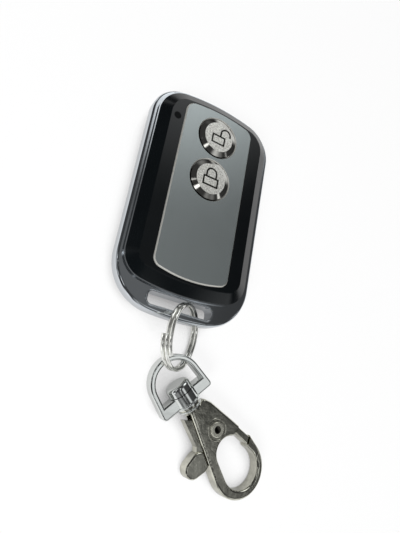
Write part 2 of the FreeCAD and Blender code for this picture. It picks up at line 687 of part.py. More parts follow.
def padlock(body, y, width, opened):
    """Engrave the outline of a padlock, its bow swung aside when it is open."""
    line_width, radius = size("icon_line"), size("shackle_radius")
    middle = y - size("icon_drop")
    top = middle + size("icon_height") / 2
    frame = new_sketch(body, "PadlockBody", LEVEL["button"])
    add_box(frame, 0, middle, width, size("icon_height"))
    add_box(frame, 0, middle, width - line_width * 2, size("icon_height") - line_width * 2)
    pocket(body, frame, size("icon_depth"))
    shift = radius * (1.35 if opened else 0)
    bow_top = top + size("shackle_leg")
    outer, inner = radius + line_width / 2, radius - line_width / 2
    bow = new_sketch(body, "PadlockBow", LEVEL["button"])
    first = bow.GeometryCount
    centre_x, centre_y = shift.number, bow_top.number
    leg_ends = (top.number, top.number + (size("shackle_leg") * 0.6).number if opened else top.number)
    bow.addGeometry([
        arc(centre_x, centre_y, outer.number, 0, math.pi),
        line(centre_x - outer.number, centre_y, centre_x - outer.number, leg_ends[0]),
        line(centre_x - outer.number, leg_ends[0], centre_x - inner.number, leg_ends[0]),
        line(centre_x - inner.number, leg_ends[0], centre_x - inner.number, centre_y),
        arc(centre_x, centre_y, inner.number, 0, math.pi),
        line(centre_x + inner.number, centre_y, centre_x + inner.number, leg_ends[1]),
        line(centre_x + inner.number, leg_ends[1], centre_x + outer.number, leg_ends[1]),
        line(centre_x + outer.number, leg_ends[1], centre_x + outer.number, centre_y),
    ])
    for one, two in (((0, 2), (1, 1)), ((1, 2), (2, 1)), ((2, 2), (3, 1)), ((3, 2), (4, 2)),
                     ((4, 1), (5, 1)), ((5, 2), (6, 1)), ((6, 2), (7, 1)), ((7, 2), (0, 1))):
        bow.addConstraint(Sketcher.Constraint("Coincident", first + one[0], one[1], first + two[0], two[1]))
    for upright in (1, 3, 5, 7):
        bow.addConstraint(Sketcher.Constraint("Vertical", first + upright))
    for level in (2, 6):
        bow.addConstraint(Sketcher.Constraint("Horizontal", first + level))
    bow.addConstraint(Sketcher.Constraint("Coincident", first, 3, first + 4, 3))
    pin(bow, first, 3, shift, bow_top)
    drive(bow, "Radius", first, outer)
    drive(bow, "Radius", first + 4, inner)
    for end, value in ((2, Size.of(leg_ends[0])), (6, Size.of(leg_ends[1]))):
        bound = top if end == 2 or not opened else top + size("shackle_leg") * 0.6
        drive(bow, "DistanceY", -1, 1, first + end, 1, Size(value.number, bound.text))
    for corner in ((first, 1), (first, 2), (first + 4, 1), (first + 4, 2)):
        drive(bow, "DistanceY", -1, 1, *corner, bow_top)
    pocket(body, bow, size("icon_depth"))


def button(name):
    body = new_body(f"button_{name}")
    y = size(f"{name}_y")
    cap = size("hole_radius") - size("button_clearance")
    top_of_flange = LEVEL["ceiling"] - size("button_play")
    foot = top_of_flange - size("button_flange_thickness")
    pad(body, with_circles(body, "Cap", foot, [(0, y, cap)]), LEVEL["button"] - foot)
    slope(body, size("button_bevel"), size("button_proud"), LEVEL["button"])
    flange = [(0, y, size("hole_radius") + size("button_flange"))]
    pad(body, with_circles(body, "Flange", foot, flange), size("button_flange_thickness"))
    hollow = [(0, y, cap - size("button_wall"))]
    pocket(body, with_circles(body, "Hollow", foot, hollow),
           LEVEL["button"] - size("button_wall") - foot, up=True)
    pad(body, with_circles(body, "Stem", LEVEL["plunger"], [(0, y, size("button_stem"))]),
        LEVEL["button"] - size("button_wall") * 0.8 - LEVEL["plunger"])
    padlock(body, y, size(f"{name}_icon_width"), opened=name == "unlock")
    return body


# Electronics

def primitive(kind, label, **sizes):
    item = doc.addObject(f"Part::{kind}", label)
    item.Label = label
    for path, value in sizes.items():
        bind(item, path, value)
    return item


def move_to(item, x, y, z):
    for axis, value in zip("xyz", (x, y, z)):
        bind(item, f"Placement.Base.{axis}", value)
    return item


def block(label, x, y, z, length, width, height):
    """A box that stands on z, its middle over x, y."""
    item = primitive("Box", label, Length=length, Width=width, Height=height)
    return move_to(item, Size.of(x) - Size.of(length) / 2, Size.of(y) - Size.of(width) / 2, z)


def disc(label, x, y, z, radius, height):
    return move_to(primitive("Cylinder", label, Radius=radius, Height=height), x, y, z)


def joined(label, items):
    item = doc.addObject("Part::MultiFuse", label)
    item.Shapes = items
    item.Label = label
    return item


def less(label, base, tool):
    item = doc.addObject("Part::Cut", label)
    item.Base = base
    item.Tool = tool
    item.Label = label
    return item


def circuit_board():
    body = new_body("circuit_board")
    outline = CAVITY.grown(-size("board_clearance"))
    pad(body, outlined(body, "Board", outline, size("board_level")), size("board_thickness"))
    holes = [(x, y, SCREW_HOLE) for x, y in screw_places()]
    pocket(body, with_circles(body, "Holes", LEVEL["board_top"], holes), size("board_thickness") * 2)
    return body


def tact_switch(name):
    y = size(f"{name}_y")
    width, top = size("switch_width"), LEVEL["board_top"]
    housing = block(f"{name}Housing", 0, y, top, width, width, size("switch_height"))
    feet = [block(f"{name}Foot", width * (0.5 * side), y + width * (0.33 * end), top,
                  size("passive_length"), size("passive_width"), size("lead_thickness"))
            for side in (1, -1) for end in (1, -1)]
    well = disc(f"{name}Well", 0, y, LEVEL["switch"] - size("well_depth"),
                size("plunger_radius") + size("plunger_clearance"), size("well_depth") * 2)
    plunger = disc(f"switch_plunger_{name}", 0, y, LEVEL["switch"] - size("plunger_depth"),
                   size("plunger_radius"), size("plunger_depth") + size("plunger_height"))
    return [less(f"tact_switch_{name}", joined(f"{name}Solid", [housing] + feet), well), plunger]


def indicator():
    x, y = -size("led_x"), size("led_y")
    radius = size("lens_radius") - size("lens_clearance")
    flange_foot = LEVEL["ceiling"] - size("lens_flange_thickness")
    foot = flange_foot - size("lens_length")
    stem = disc("LensStem", x, y, foot, radius, LEVEL["face"] - foot)
    flange = disc("LensFlange", x, y, flange_foot, size("lens_radius") + size("lens_flange"),
                  size("lens_flange_thickness"))
    base = block("LampBase", x, y, LEVEL["board_top"], size("led_width"), size("passive_width") * 1.2,
                 size("led_height") / 2)
    lamp = block("LampTop", x, y, LEVEL["board_top"], size("led_width") * 0.6, size("passive_width") * 1.2,
                 size("led_height"))
    return [joined("led_lens", [stem, flange]), joined("indicator_led", [base, lamp])]


def encoder_chip():
    x, y, top = size("chip_x"), -size("chip_y"), LEVEL["board_top"]
    lift = size("lead_thickness") / 2
    pieces = [block("ChipBody", x, y, top + lift, size("chip_length"), size("chip_width"),
                    size("chip_height") - lift)]
    for index in range(LEADS_PER_SIDE):
        along = x + size("lead_pitch") * (index - (LEADS_PER_SIDE - 1) / 2)
        for side in (1, -1):
            across = y + (size("chip_width") / 2 + size("lead_length") / 2 - 0.1) * side
            pieces.append(block("Lead", along, across, top, size("lead_width"),
                                size("lead_length"), size("lead_thickness") * 1.6))
    return joined("encoder_chip", pieces)


def radio_parts():
    top = LEVEL["board_top"]
    x, y = -size("resonator_x"), -size("resonator_y")
    can = block("ResonatorCan", x, y, top, size("resonator_length"), size("resonator_width"),
                size("resonator_height"))
    lid = block("ResonatorLid", x, y, top, size("resonator_length") - 0.6, size("resonator_width") - 0.6,
                size("resonator_height") + 0.15)
    transistor_y = -size("transistor_y")
    case = block("TransistorCase", x, transistor_y, top + 0.1, size("transistor_length"),
                 size("transistor_width"), size("transistor_height") - 0.1)
    legs = [block("TransistorLeg", x + size("transistor_length") * offset, transistor_y + side, top,
                  size("lead_width"), size("lead_length"), size("lead_thickness"))
            for offset, side in ((-0.32, -0.8), (0.32, -0.8), (0, 0.8))]
    chips = [block("Passive", px, py, top, size("passive_length"), size("passive_width"),
                   size("passive_height")) for px, py in PASSIVES]
    return [joined("saw_resonator", [can, lid]), joined("rf_transistor", [case] + legs),
            joined("chip_passives", chips)]


def antenna_loop():
    body = new_body("antenna_loop")
    out, trace = size("antenna_half_width"), size("antenna_trace")
    near, far = -size("antenna_start"), -size("antenna_end")
    corners = ((-out, near), (-out, far), (out, far), (out, near), (out - trace, near),
               (out - trace, far + trace), (trace - out, far + trace), (trace - out, near))
    pad(body, with_polygon(body, "Trace", LEVEL["board_top"], corners), size("antenna_thickness"))
    return body


def battery():
    y, board = -size("cell_y"), size("board_level")
    cell_foot = board - size("contact_height") - size("cell_thickness")
    half = size("cell_thickness") / 2
    can = disc("CellCan", 0, y, cell_foot, size("cell_radius"), half + size("cell_step"))
    cap = disc("CellCap", 0, y, cell_foot, size("cell_radius") - size("cell_step"), size("cell_thickness"))
    cell = joined("coin_cell", [can, cap])
    contact = disc("battery_contact", 0, y, board - size("contact_height"), size("contact_radius"),
                   size("contact_height"))
    sheet_metal = size("clip_thickness")
    reach_out = size("cell_radius") + size("clip_clearance") + sheet_metal
    foot = cell_foot - sheet_metal
    parts = [block("ClipArch", 0, y, foot, reach_out * 2, size("clip_width"), sheet_metal)]
    for side in (1, -1):
        parts.append(block("ClipLeg", (reach_out - sheet_metal / 2) * side, y, foot, sheet_metal,
                           size("clip_width"), board - foot))
        parts.append(block("ClipFoot", (reach_out + size("clip_foot") / 2) * side, y, board - sheet_metal,
                           size("clip_foot"), size("clip_width"), sheet_metal))
    return [cell, contact, joined("battery_clip", parts)]


def cover_screws():
    """Four alike screws, driven in from the back."""
    screws = []
    for x, y in screw_places():
        head = disc("ScrewHead", x, y, size("screw_sink"), size("screw_head_radius"),
                    size("screw_head_height"))
        shank = disc("ScrewThread", x, y, size("screw_sink"), size("screw_radius"),
                     size("screw_head_height") + size("screw_length"))
        slots = [block("ScrewSlot", x, y, size("screw_sink") - size("screw_slot"), length, width,
                       size("screw_slot") * 2)
                 for length, width in ((size("screw_head_radius") * 1.3, size("screw_slot")),
                                       (size("screw_slot"), size("screw_head_radius") * 1.3))]
        screws.append(less("Screw", joined("ScrewSolid", [head, shank]), joined("ScrewCross", slots)))
    return joined("cover_screws", screws)


# Split ring and clasp

def turn(*steps):
    """Turns about the body's own axes, one after another."""
    rotation = FreeCAD.Rotation()
    for axis, alias in steps:
        rotation = rotation.multiply(FreeCAD.Rotation(FreeCAD.Vector(*axis), size(alias).number))
    return rotation


UPRIGHT, SIDEWAYS, AHEAD = (0, 0, 1), (0, 1, 0), (1, 0, 0)


def coil(label, pitch, turns, radius, wire_radius, sides, stations):
    """A wire wound about upright, centred on the origin, its ends left free."""
    count = round(turns * stations)
    rise = pitch / (2 * math.pi)
    flat = [FreeCAD.Vector(wire_radius * math.cos(angle), wire_radius * math.sin(angle), 0)
            for angle in (2 * math.pi * side / sides for side in range(sides))]
    sections = []
    for station in range(count + 1):
        angle = 2 * math.pi * turns * station / count
        outward = FreeCAD.Vector(math.cos(angle), math.sin(angle), 0)
        along = FreeCAD.Vector(-radius * math.sin(angle), radius * math.cos(angle), rise).normalize()
        section = Part.makePolygon(flat + flat[:1])
        section.Placement = FreeCAD.Placement(
            outward * radius + FreeCAD.Vector(0, 0, rise * angle - pitch * turns / 2),
            FreeCAD.Rotation(outward, along.cross(outward), along, "ZXY"))
        sections.append(section)
    item = doc.addObject("Part::Feature", label)
    item.Label = label
    item.Shape = Part.makeLoft(sections, True, False)
    return item


def ahead(heading, pitch, distance):
    """The way that a heading and a downward pitch lead."""
    level = cosine(pitch) * distance
    return cosine(heading) * level, sine(heading) * level, -sine(pitch) * distance


RING_CENTRE = (size("ring_x"), -(size("slot_centre") + size("ring_reach")),
               size("frame_level") + size("ring_lift"))
# The swivel eye hangs on the ring's wire by the inside of its bow.
HANG = ahead(size("hang_heading"), size("hang_pitch"), size("ring_radius") - size("hang_slack"))
EYE = ahead(size("clasp_heading"), size("clasp_pitch"),
            size("eye_reach") + size("eye_radius") - size("eye_bar"))
CLASP_FOOT = tuple(sum(parts, Size.of(0)) for parts in zip(RING_CENTRE, HANG, EYE))


def split_ring():
    """Two close turns of spring wire, the ends left free."""
    pitch = (size("ring_wire") + size("ring_gap")).number
    ring = coil("split_ring", pitch, size("ring_turns").number, size("ring_radius").number,
                size("ring_wire").number / 2, 16, 12)
    rotation = turn((UPRIGHT, "ring_heading"), (SIDEWAYS, "ring_tilt"), (UPRIGHT, "ring_spin"))
    ring.Placement = FreeCAD.Placement(FreeCAD.Vector(0, 0, 0), rotation)
    return move_to(ring, *RING_CENTRE)


def place_on_clasp(item, roll=None):
    """Put a piece drawn on the clasp's own axis where the clasp lies."""
    steps = [(UPRIGHT, "clasp_heading"), (SIDEWAYS, "clasp_pitch")]
    if roll:
        steps.append((AHEAD, roll))
    item.Placement = FreeCAD.Placement(FreeCAD.Vector(0, 0, 0), turn(*steps))
    return move_to(item, *CLASP_FOOT)


def horseshoe(body, name, radius, base, half_width):
    """The plan of the swivel eye: a bow and two arms that flare to a straight foot."""
    sketch = new_sketch(body, name)
    base, half_width = Size.of(base), Size.of(half_width)
    centre = -size("eye_reach")
    away = base.number - centre.number
    apart = math.hypot(away, half_width.number)
    touch = math.atan2(half_width.number, away) + math.acos(radius.number / apart)
    x = centre.number + radius.number * math.cos(touch)
    y = radius.number * math.sin(touch)
    sketch.addGeometry([
        arc(centre.number, 0, radius.number, touch, 2 * math.pi - touch),
        line(x, -y, base.number, -half_width.number),
        line(base.number, -half_width.number, base.number, half_width.number),
        line(base.number, half_width.number, x, y),
    ])
    sketch.addConstraint(Sketcher.Constraint("Tangent", 0, 2, 1, 1))
    sketch.addConstraint(Sketcher.Constraint("Tangent", 3, 2, 0, 1))
    sketch.addConstraint(Sketcher.Constraint("Coincident", 1, 2, 2, 1))
    sketch.addConstraint(Sketcher.Constraint("Coincident", 2, 2, 3, 1))
    pin(sketch, 0, 3, centre, 0)
    drive(sketch, "Radius", 0, radius)
    pin(sketch, 2, 1, base, -half_width)
    pin(sketch, 2, 2, base, half_width)
    return sketch


def swivel_eye():
    body = new_body("swivel_eye")
    thickness = size("eye_thickness")
    pad(body, horseshoe(body, "Outside", size("eye_radius"), 0, size("eye_half_width")),
        thickness, both=True)
    hole = horseshoe(body, "Inside", size("eye_radius") - size("eye_bar"), -size("eye_base"),
                     size("eye_half_width") - size("eye_bar") * 1.25)
    pocket(body, hole, thickness * 2, both=True)
    half = thickness / 2
    dress(body, "Fillet", "Radius", size("eye_corner"),
          lambda edge: is_upright(edge) and abs(edge.BoundBox.Center.x) < 1e-4)
    dress(body, "Fillet", "Radius", size("eye_round"), lambda edge: on_faces(edge, half))
    barrel_back = -size("eye_base")
    barrel = size("eye_base") + size("barrel_overhang")
    pad(body, with_circles(body, "Barrel", barrel_back, [(0, 0, size("barrel_radius"))], "YZ_Plane"), barrel)
    bore = [(0, 0, size("post_radius") + size("post_clearance"))]
    pocket(body, with_circles(body, "Bore", barrel_back, bore, "YZ_Plane"), barrel, up=True)
    return place_on_clasp(body, "eye_roll")


COLLAR_START = size("barrel_overhang") + size("swivel_play")


def swivel_post():
    body = new_body("swivel_post")
    head_face = -size("eye_base") - size("swivel_play")
    head = with_circles(body, "Head", head_face, [(0, 0, size("head_radius"))], "YZ_Plane")
    pad(body, head, size("head_length"), down=True)
    tip = head_face - size("head_length")
    dress(body, "Fillet", "Radius", size("head_round"),
          lambda edge: edge.BoundBox.XMax < tip.number + 1e-4)
    post = with_circles(body, "Post", head_face, [(0, 0, size("post_radius"))], "YZ_Plane")
    pad(body, post, COLLAR_START + size("post_seat") - head_face)
    return place_on_clasp(body)


def on_rim(x, y, radius, angle, share=1.0):
    """A point on one of the clasp's round parts, by its angle from the clasp's axis."""
    return (x + radius * (share * math.cos(math.radians(angle))),
            y + radius * (share * math.sin(math.radians(angle))))


def round_pivot(*offsets):
    """Points given by how far they lie ahead of the pivot and across from it."""
    return [(size("pivot_x") + x, size("pivot_y") + y) for x, y in offsets]


def from_pivot(distance, across):
    """A point at a distance from the pivot towards the gate's end, and off that line."""
    angle = size("gate_angle")
    return (size("pivot_x") + cosine(angle) * distance - sine(angle) * across,
            size("pivot_y") + sine(angle) * distance + cosine(angle) * across)


def clasp_body():
    body = new_body("clasp_body")
    shoulder = (size("shoulder_x"), size("shoulder_y"), size("shoulder_radius"))
    hook = (size("hook_x"), size("hook_y"), size("mouth_radius") + size("hook_wall"))
    thickness, half = size("clasp_thickness"), size("clasp_thickness") / 2
    neck = size("neck_x")
    flare = (neck + size("neck_flare"), size("neck_right") + size("neck_spread"))
    corners = ((neck, -size("neck_left")), on_rim(*hook, 256.7), on_rim(*shoulder, 0, 0.35),
               on_rim(*shoulder, 139, 1.125), flare, (neck, size("neck_right")))
    pad(body, with_polygon(body, "Plate", 0, corners), thickness, both=True)
    pad(body, with_hulls(body, "Hook", 0, (*shoulder, *hook)), thickness, both=True)
    dress(body, "Fillet", "Radius", size("clasp_corner"),
          lambda edge: is_upright(edge) and edge.BoundBox.XMax < flare[0].number + 0.1)
    dress(body, "Fillet", "Radius", size("clasp_round"), lambda edge: on_faces(edge, half))
    throat = (size("throat_x"), size("throat_y"), size("throat_radius"))
    mouth = (size("mouth_x"), size("mouth_y"), size("mouth_radius"))
    pocket(body, with_hulls(body, "Mouth", 0, (*throat, *mouth)), thickness * 2, both=True)
    inner_left = (size("throat_x") - size("throat_radius")).number
    inner_right = (size("mouth_x") + size("mouth_radius")).number
    inner_top = (size("mouth_y") + size("mouth_radius")).number
    dress(body, "Fillet", "Radius", size("mouth_round"),
          lambda edge: on_faces(edge, half) and edge.BoundBox.XMin > inner_left - 0.01
          and edge.BoundBox.XMax < inner_right + 0.01 and edge.BoundBox.YMax < inner_top + 0.01)
    # The hook's tip stops square to the gate's swing.
    stop = size("gate_reach") + size("gate_gap")
    tip = [from_pivot(stop, -2.6), from_pivot(stop, 3.6)]
    gap = with_polygon(body, "GateGap", 0, tip + round_pivot((3.1, 8.5), (3.7, 5.5), (4.05, 3.7),
                                                             (4.45, 2.0)))
    pocket(body, gap, thickness * 2, both=True)
    collar = with_circles(body, "Collar", COLLAR_START, [(0, 0, size("collar_radius"))], "YZ_Plane")
    pad(body, collar, size("collar_length"))
    stem = with_circles(body, "NeckRoot", COLLAR_START, [(0, 0, size("post_radius") * 1.4)], "YZ_Plane")
    pad(body, stem, size("post_seat") + 0.4)
    slit = with_polygon(body, "Slit", 0, round_pivot(
        (-8.25, -11.0), (5.65, -11.0), (5.65, -6.6), (2.45, -4.2), (2.45, -1.2), (5.85, 2.2), (4.65, 4.5),
        (3.25, 7.5), (2.35, 7.5), (2.15, 4.3), (-0.45, 2.45), (-1.65, 2.3), (-2.75, -0.5), (-6.8, -0.5),
        (-6.8, -3.05), (-7.65, -3.7), (-8.25, -4.0)))
    pocket(body, slit, size("slit_width"), both=True)
    bore = [(0, 0, size("post_radius") + size("seat_clearance"))]
    pocket(body, with_circles(body, "Bore", COLLAR_START, bore, "YZ_Plane"),
           size("post_seat") + size("seat_clearance"), up=True)
    pivot = [(size("pivot_x"), size("pivot_y"), size("rivet_radius") + size("seat_clearance"))]
    pocket(body, with_circles(body, "RivetHole", 0, pivot), thickness * 2, both=True)
    return place_on_clasp(body)


def trigger_lever():
    body = new_body("trigger_lever")
    pivot = (size("pivot_x"), size("pivot_y"))
    web, thick = size("web_thickness"), size("trigger_thickness")
    hub = (*pivot, size("trigger_hub"))
    thumb_x = size("pivot_x") + size("thumb_ahead")
    thumb = (thumb_x, -size("thumb_root"), size("thumb_radius"),
             thumb_x, -size("thumb_end"), size("thumb_end_radius"))
    pad(body, with_hulls(body, "Thumb", 0, thumb), thick, both=True)
    # The tab ends beside the clasp's edge.
    beside = with_polygon(body, "ThumbRoot", 0, round_pivot((-0.75, -5.16), (7.25, -7.02), (7.25, -2.0),
                                                            (-0.75, -2.0)))
    pocket(body, beside, thick * 2, both=True)
    half = thick / 2
    dress(body, "Fillet", "Radius", size("thumb_round"), lambda edge: on_faces(edge, half))
    (inner, outer) = round_pivot((4.2, 3.75), (3.85, 5.5))
    gate = with_polygon(body, "Gate", 0, (inner, from_pivot(size("gate_reach"), -1.0),
                                          from_pivot(size("gate_reach"), 1.0), outer))
    pad(body, gate, thick, both=True)
    dress(body, "Fillet", "Radius", size("thumb_round"),
          lambda edge: on_faces(edge, half) and edge.BoundBox.YMin > pivot[1].number)
    arm = with_polygon(body, "Arm", 0, round_pivot(
        (-7.25, -5.4), (-0.15, -6.35), (1.25, -7.5), (4.65, -7.6), (4.55, -6.2), (2.25, -4.4), (1.85, -1.2),
        (-1.15, -1.2), (-1.95, -3.1), (-2.75, -3.55), (-5.35, -3.6), (-5.75, -3.8)))
    pad(body, arm, web, both=True)
    (below, root, bend, spine) = round_pivot((1.25, -2.0), (0.65, 0.8), (3.95, 4.3), (5.85, 4.9))
    pad(body, with_hulls(body, "Hub", 0, hub + (*below, 1.0)), web, both=True)
    pad(body, with_hulls(body, "GateRoot", 0, (*root, 1.3, *bend, 0.75)), web, both=True)
    pad(body, with_hulls(body, "GateSpine", 0, (*bend, 0.7, *spine, 0.7)), web, both=True)
    hole = [(*pivot, size("rivet_radius") + size("rivet_clearance"))]
    pocket(body, with_circles(body, "PivotHole", 0, hole), thick * 2, both=True)
    return place_on_clasp(body)


def trigger_rivet():
    body = new_body("trigger_rivet")
    pivot = (size("pivot_x"), size("pivot_y"))
    long = size("clasp_thickness") + size("rivet_rim_height") * 2
    pad(body, with_circles(body, "Barrel", 0, [(*pivot, size("rivet_radius"))]), long, both=True)
    for side in (1, -1):
        rim = with_circles(body, "Rim", size("clasp_thickness") / 2 * side, [(*pivot, size("rivet_rim"))])
        pad(body, rim, size("rivet_rim_height"), down=side < 0)
    floor = size("rivet_floor") - long / 2
    pocket(body, with_circles(body, "Bore", floor, [(*pivot, size("rivet_bore"))]), long, up=True)
    half = long / 2
    dress(body, "Fillet", "Radius", size("rivet_rim_height") * 0.8,
          lambda edge: on_faces(edge, half) and is_ring(edge, size("rivet_rim")))
    return place_on_clasp(body)


def trigger_spring():
    """A coil that pushes the trigger's arm out of the neck."""
    turns = size("spring_turns").number
    wire = size("spring_wire").number
    pitch = (size("spring_length").number - wire) / turns
    spring = coil("trigger_spring", pitch, turns, size("spring_radius").number, wire / 2, 8, 10)
    centre = FreeCAD.Vector((size("pivot_x") - size("spring_behind")).number,
                            (size("spring_foot") - size("spring_length") / 2).number, 0)
    on_clasp = turn((UPRIGHT, "clasp_heading"), (SIDEWAYS, "clasp_pitch"))
    foot = FreeCAD.Vector(*(value.number for value in CLASP_FOOT))
    lying = FreeCAD.Rotation(FreeCAD.Vector(1, 0, 0), 90)
    spring.Placement = FreeCAD.Placement(foot + on_clasp.multVec(centre), on_clasp.multiply(lying))
    return spring


def all_pieces():
    pieces = [chrome_frame(), front_cover(), back_cover(), face_plate()]
    pieces += [button(name) for name in BUTTONS]
    pieces += [circuit_board(), encoder_chip(), antenna_loop(), cover_screws()]
    for name in BUTTONS:
        pieces += tact_switch(name)
    pieces += indicator() + radio_parts() + battery()
    pieces += [split_ring(), swivel_eye(), swivel_post(), clasp_body()]
    pieces += [trigger_lever(), trigger_rivet(), trigger_spring()]
    return pieces


def check(pieces):
    """Stop if a feature failed, a cut removed nothing or a piece isn't sound."""
    doc.recompute()
    for item in doc.Objects:
        if "Invalid" in item.State or "Error" in item.State:
            raise RuntimeError(f"{item.Label} failed: {item.State}")
        if item.TypeId == "PartDesign::Pocket" and item.BaseFeature:
            if item.Shape.Volume > item.BaseFeature.Shape.Volume - 1e-6:
                raise RuntimeError(f"{item.Label} of {item.getParentGeoFeatureGroup().Label} cuts nothing")
    for piece in pieces:
        shape = piece.Shape
        if shape.isNull() or not shape.isValid() or shape.Volume <= 0:
            raise RuntimeError(f"{piece.Label} isn't a sound solid")


def main():
    pieces = all_pieces()
    check(pieces)
    os.makedirs("parts", exist_ok=True)
    for piece in pieces:
        piece.Shape.exportStep(f"parts/{piece.Label}.step")
        solids = len(piece.Shape.Solids)
        print(f"{piece.Label}: {solids} solid{'s' if solids > 1 else ''}, {piece.Shape.Volume:.2f} mm3")


main()
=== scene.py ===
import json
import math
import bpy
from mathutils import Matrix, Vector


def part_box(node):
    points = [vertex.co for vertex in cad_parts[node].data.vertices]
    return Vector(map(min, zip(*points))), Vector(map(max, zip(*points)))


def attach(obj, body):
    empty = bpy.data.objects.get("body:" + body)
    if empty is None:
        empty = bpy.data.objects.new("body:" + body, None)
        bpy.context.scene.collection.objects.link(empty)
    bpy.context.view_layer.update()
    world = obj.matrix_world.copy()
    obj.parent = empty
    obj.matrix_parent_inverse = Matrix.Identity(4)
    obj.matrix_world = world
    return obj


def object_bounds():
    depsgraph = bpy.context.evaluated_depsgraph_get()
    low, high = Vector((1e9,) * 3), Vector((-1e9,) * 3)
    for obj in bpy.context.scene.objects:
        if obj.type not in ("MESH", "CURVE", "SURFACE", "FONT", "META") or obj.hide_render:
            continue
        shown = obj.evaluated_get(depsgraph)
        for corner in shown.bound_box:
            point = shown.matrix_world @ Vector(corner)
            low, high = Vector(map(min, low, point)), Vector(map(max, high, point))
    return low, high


bl_info = {
    "name": "Gate Remote",
    "version": (1, 0, 0),
    "blender": (4, 5, 0),
    "location": "View3D > Sidebar > Remote",
    "description": "Finishes a two-button gate remote with its split ring and trigger clasp",
    "category": "Object",
}

import bmesh
import bpy
from bpy.props import FloatProperty, FloatVectorProperty, PointerProperty
from bpy.types import Operator, Panel, PropertyGroup
from mathutils import Matrix, Vector

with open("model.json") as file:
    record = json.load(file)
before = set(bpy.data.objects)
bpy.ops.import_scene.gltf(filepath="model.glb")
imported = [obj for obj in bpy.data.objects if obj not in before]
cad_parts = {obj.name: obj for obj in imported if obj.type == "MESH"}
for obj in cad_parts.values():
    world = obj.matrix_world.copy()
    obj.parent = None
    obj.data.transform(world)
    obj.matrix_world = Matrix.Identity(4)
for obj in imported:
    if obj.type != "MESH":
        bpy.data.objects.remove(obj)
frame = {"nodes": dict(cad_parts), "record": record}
CAD_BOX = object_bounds()
MM = 0.001
SAME_PLACE = 1e-7

# The swivel's barrel and collar, along its axis from the place of its joint
BARREL_FRONT = 0.35 * MM
BARREL_RADIUS = 3.2 * MM
COLLAR_MIDDLE = 1.2 * MM
COLLAR_RADIUS = 2.8 * MM

# Painted shade: inside the rivet is painted dark up to the first radius, and its rim is bright from the
# second
HOLLOW_RADIUS = 0.88 * MM
RIM_RADIUS = 0.98 * MM

# How finely the beads and the bows of the padlocks are rounded
BEAD_SIDES = 14
BEAD_STEPS = 72
BOW_STEPS = 20

# An open bow: how far it stands to the side, in bow radii, and its free leg as a share of the other
OPEN_SHIFT = 1.35
FREE_LEG = 0.4

# Colours of the small parts
SCREW_ZINC = (0.5, 0.5, 0.48)
SPRING_GREY = (0.6, 0.6, 0.6)
TIN_GREY = (0.6, 0.6, 0.58)
CHIP_BLACK = (0.015, 0.015, 0.016)
CHIP_BROWN = (0.16, 0.12, 0.08)
CELL_STEEL = (0.62, 0.62, 0.6)
COPPER_RED = (0.75, 0.4, 0.24)
LAMP_STRAW = (0.9, 0.86, 0.7)


def top_of(node):
    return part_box(node)[1][2]


def middle_of(node):
    low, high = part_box(node)
    return (Vector(low) + Vector(high)) / 2


def hinge_of(name):
    """A joint's place and direction, as the record gives them."""
    for joint in frame["record"]["behaviour"]["joints"]:
        if joint["name"] == name:
            return Vector(joint["pos_m"]), Vector(joint["axis"]).normalized()
    raise RuntimeError(f"no joint {name}")


# Settings

def length(name, description, default):
    return FloatProperty(name=name, description=description, default=default, min=0.0,
                         subtype="DISTANCE", unit="LENGTH", precision=6)


def colour(name, description, default):
    return FloatVectorProperty(name=name, description=description, default=default, size=3,
                               min=0.0, max=1.0, subtype="COLOR")


class RemoteSizes(PropertyGroup):
    icon_line: length("Icon line", "Width of the padlock's engraved line", 0.48 * MM)
    unlock_icon_width: length("Open lock width", "Open padlock's body, across", 4.1 * MM)
    lock_icon_width: length("Closed lock width", "Closed padlock's body, across", 4.6 * MM)
    icon_height: length("Icon height", "Padlock's body, along", 2.75 * MM)
    icon_drop: length("Icon drop", "Padlock's body below the button's centre", 0.8 * MM)
    icon_depth: length("Icon depth", "Depth of the engraving", 0.15 * MM)
    bow_radius: length("Bow radius", "Padlock's bow, middle of its line", 1.4 * MM)
    bow_leg: length("Bow leg", "Straight legs of the padlock's bow", 1.0 * MM)
    enamel_sink: length("Enamel sink", "Enamel below the button's face", 0.05 * MM)
    enamel_gap: length("Enamel gap", "Enamel to the groove's sides", 0.01 * MM)
    crease_radius: length("Crease radius", "Pressed ring round the clasp's rivet", 2.55 * MM)
    crease_width: length("Crease width", "Pressed ring, across", 0.45 * MM)
    crease_height: length("Crease height", "Pressed ring above the clasp's face", 0.12 * MM)
    bead_width: length("Bead width", "Bead round the swivel, along it", 0.55 * MM)
    bead_height: length("Bead height", "Bead above the swivel's barrel", 0.22 * MM)


class RemoteColours(PropertyGroup):
    cover_black: colour("Cover black", "Glossy covers", (0.001, 0.0017, 0.0022))
    plate_silver: colour("Plate silver", "Face plate", (0.39, 0.43, 0.43))
    plate_edge: colour("Plate edge", "Cut edges of the face plate", (0.38, 0.375, 0.35))
    rim_plating: colour("Rim plating", "Plated frame", (0.62, 0.65, 0.68))
    key_silver: colour("Key silver", "Button caps", (0.92, 0.9, 0.84))
    clasp_nickel: colour("Clasp nickel", "Clasp and trigger", (0.69, 0.68, 0.59))
    eye_nickel: colour("Eye nickel", "Swivel eye and post", (0.74, 0.76, 0.74))
    ring_nickel: colour("Ring nickel", "Split ring", (0.82, 0.82, 0.78))
    enamel_black: colour("Enamel black", "Paint in the engraved padlocks", (0.006, 0.0055, 0.0045))
    board_green: colour("Board green", "Circuit board's resist", (0.012, 0.12, 0.045))
    floor_white: colour("Floor white", "Table under the remote", (0.9, 0.9, 0.9))


# Modelling by hand

def start_clean():
    if bpy.context.mode != "OBJECT":
        bpy.ops.object.mode_set(mode="OBJECT")
    bpy.ops.object.select_all(action="DESELECT")


def take(piece):
    """Make a piece the only one that is selected and active."""
    start_clean()
    piece.select_set(True)
    bpy.context.view_layer.objects.active = piece


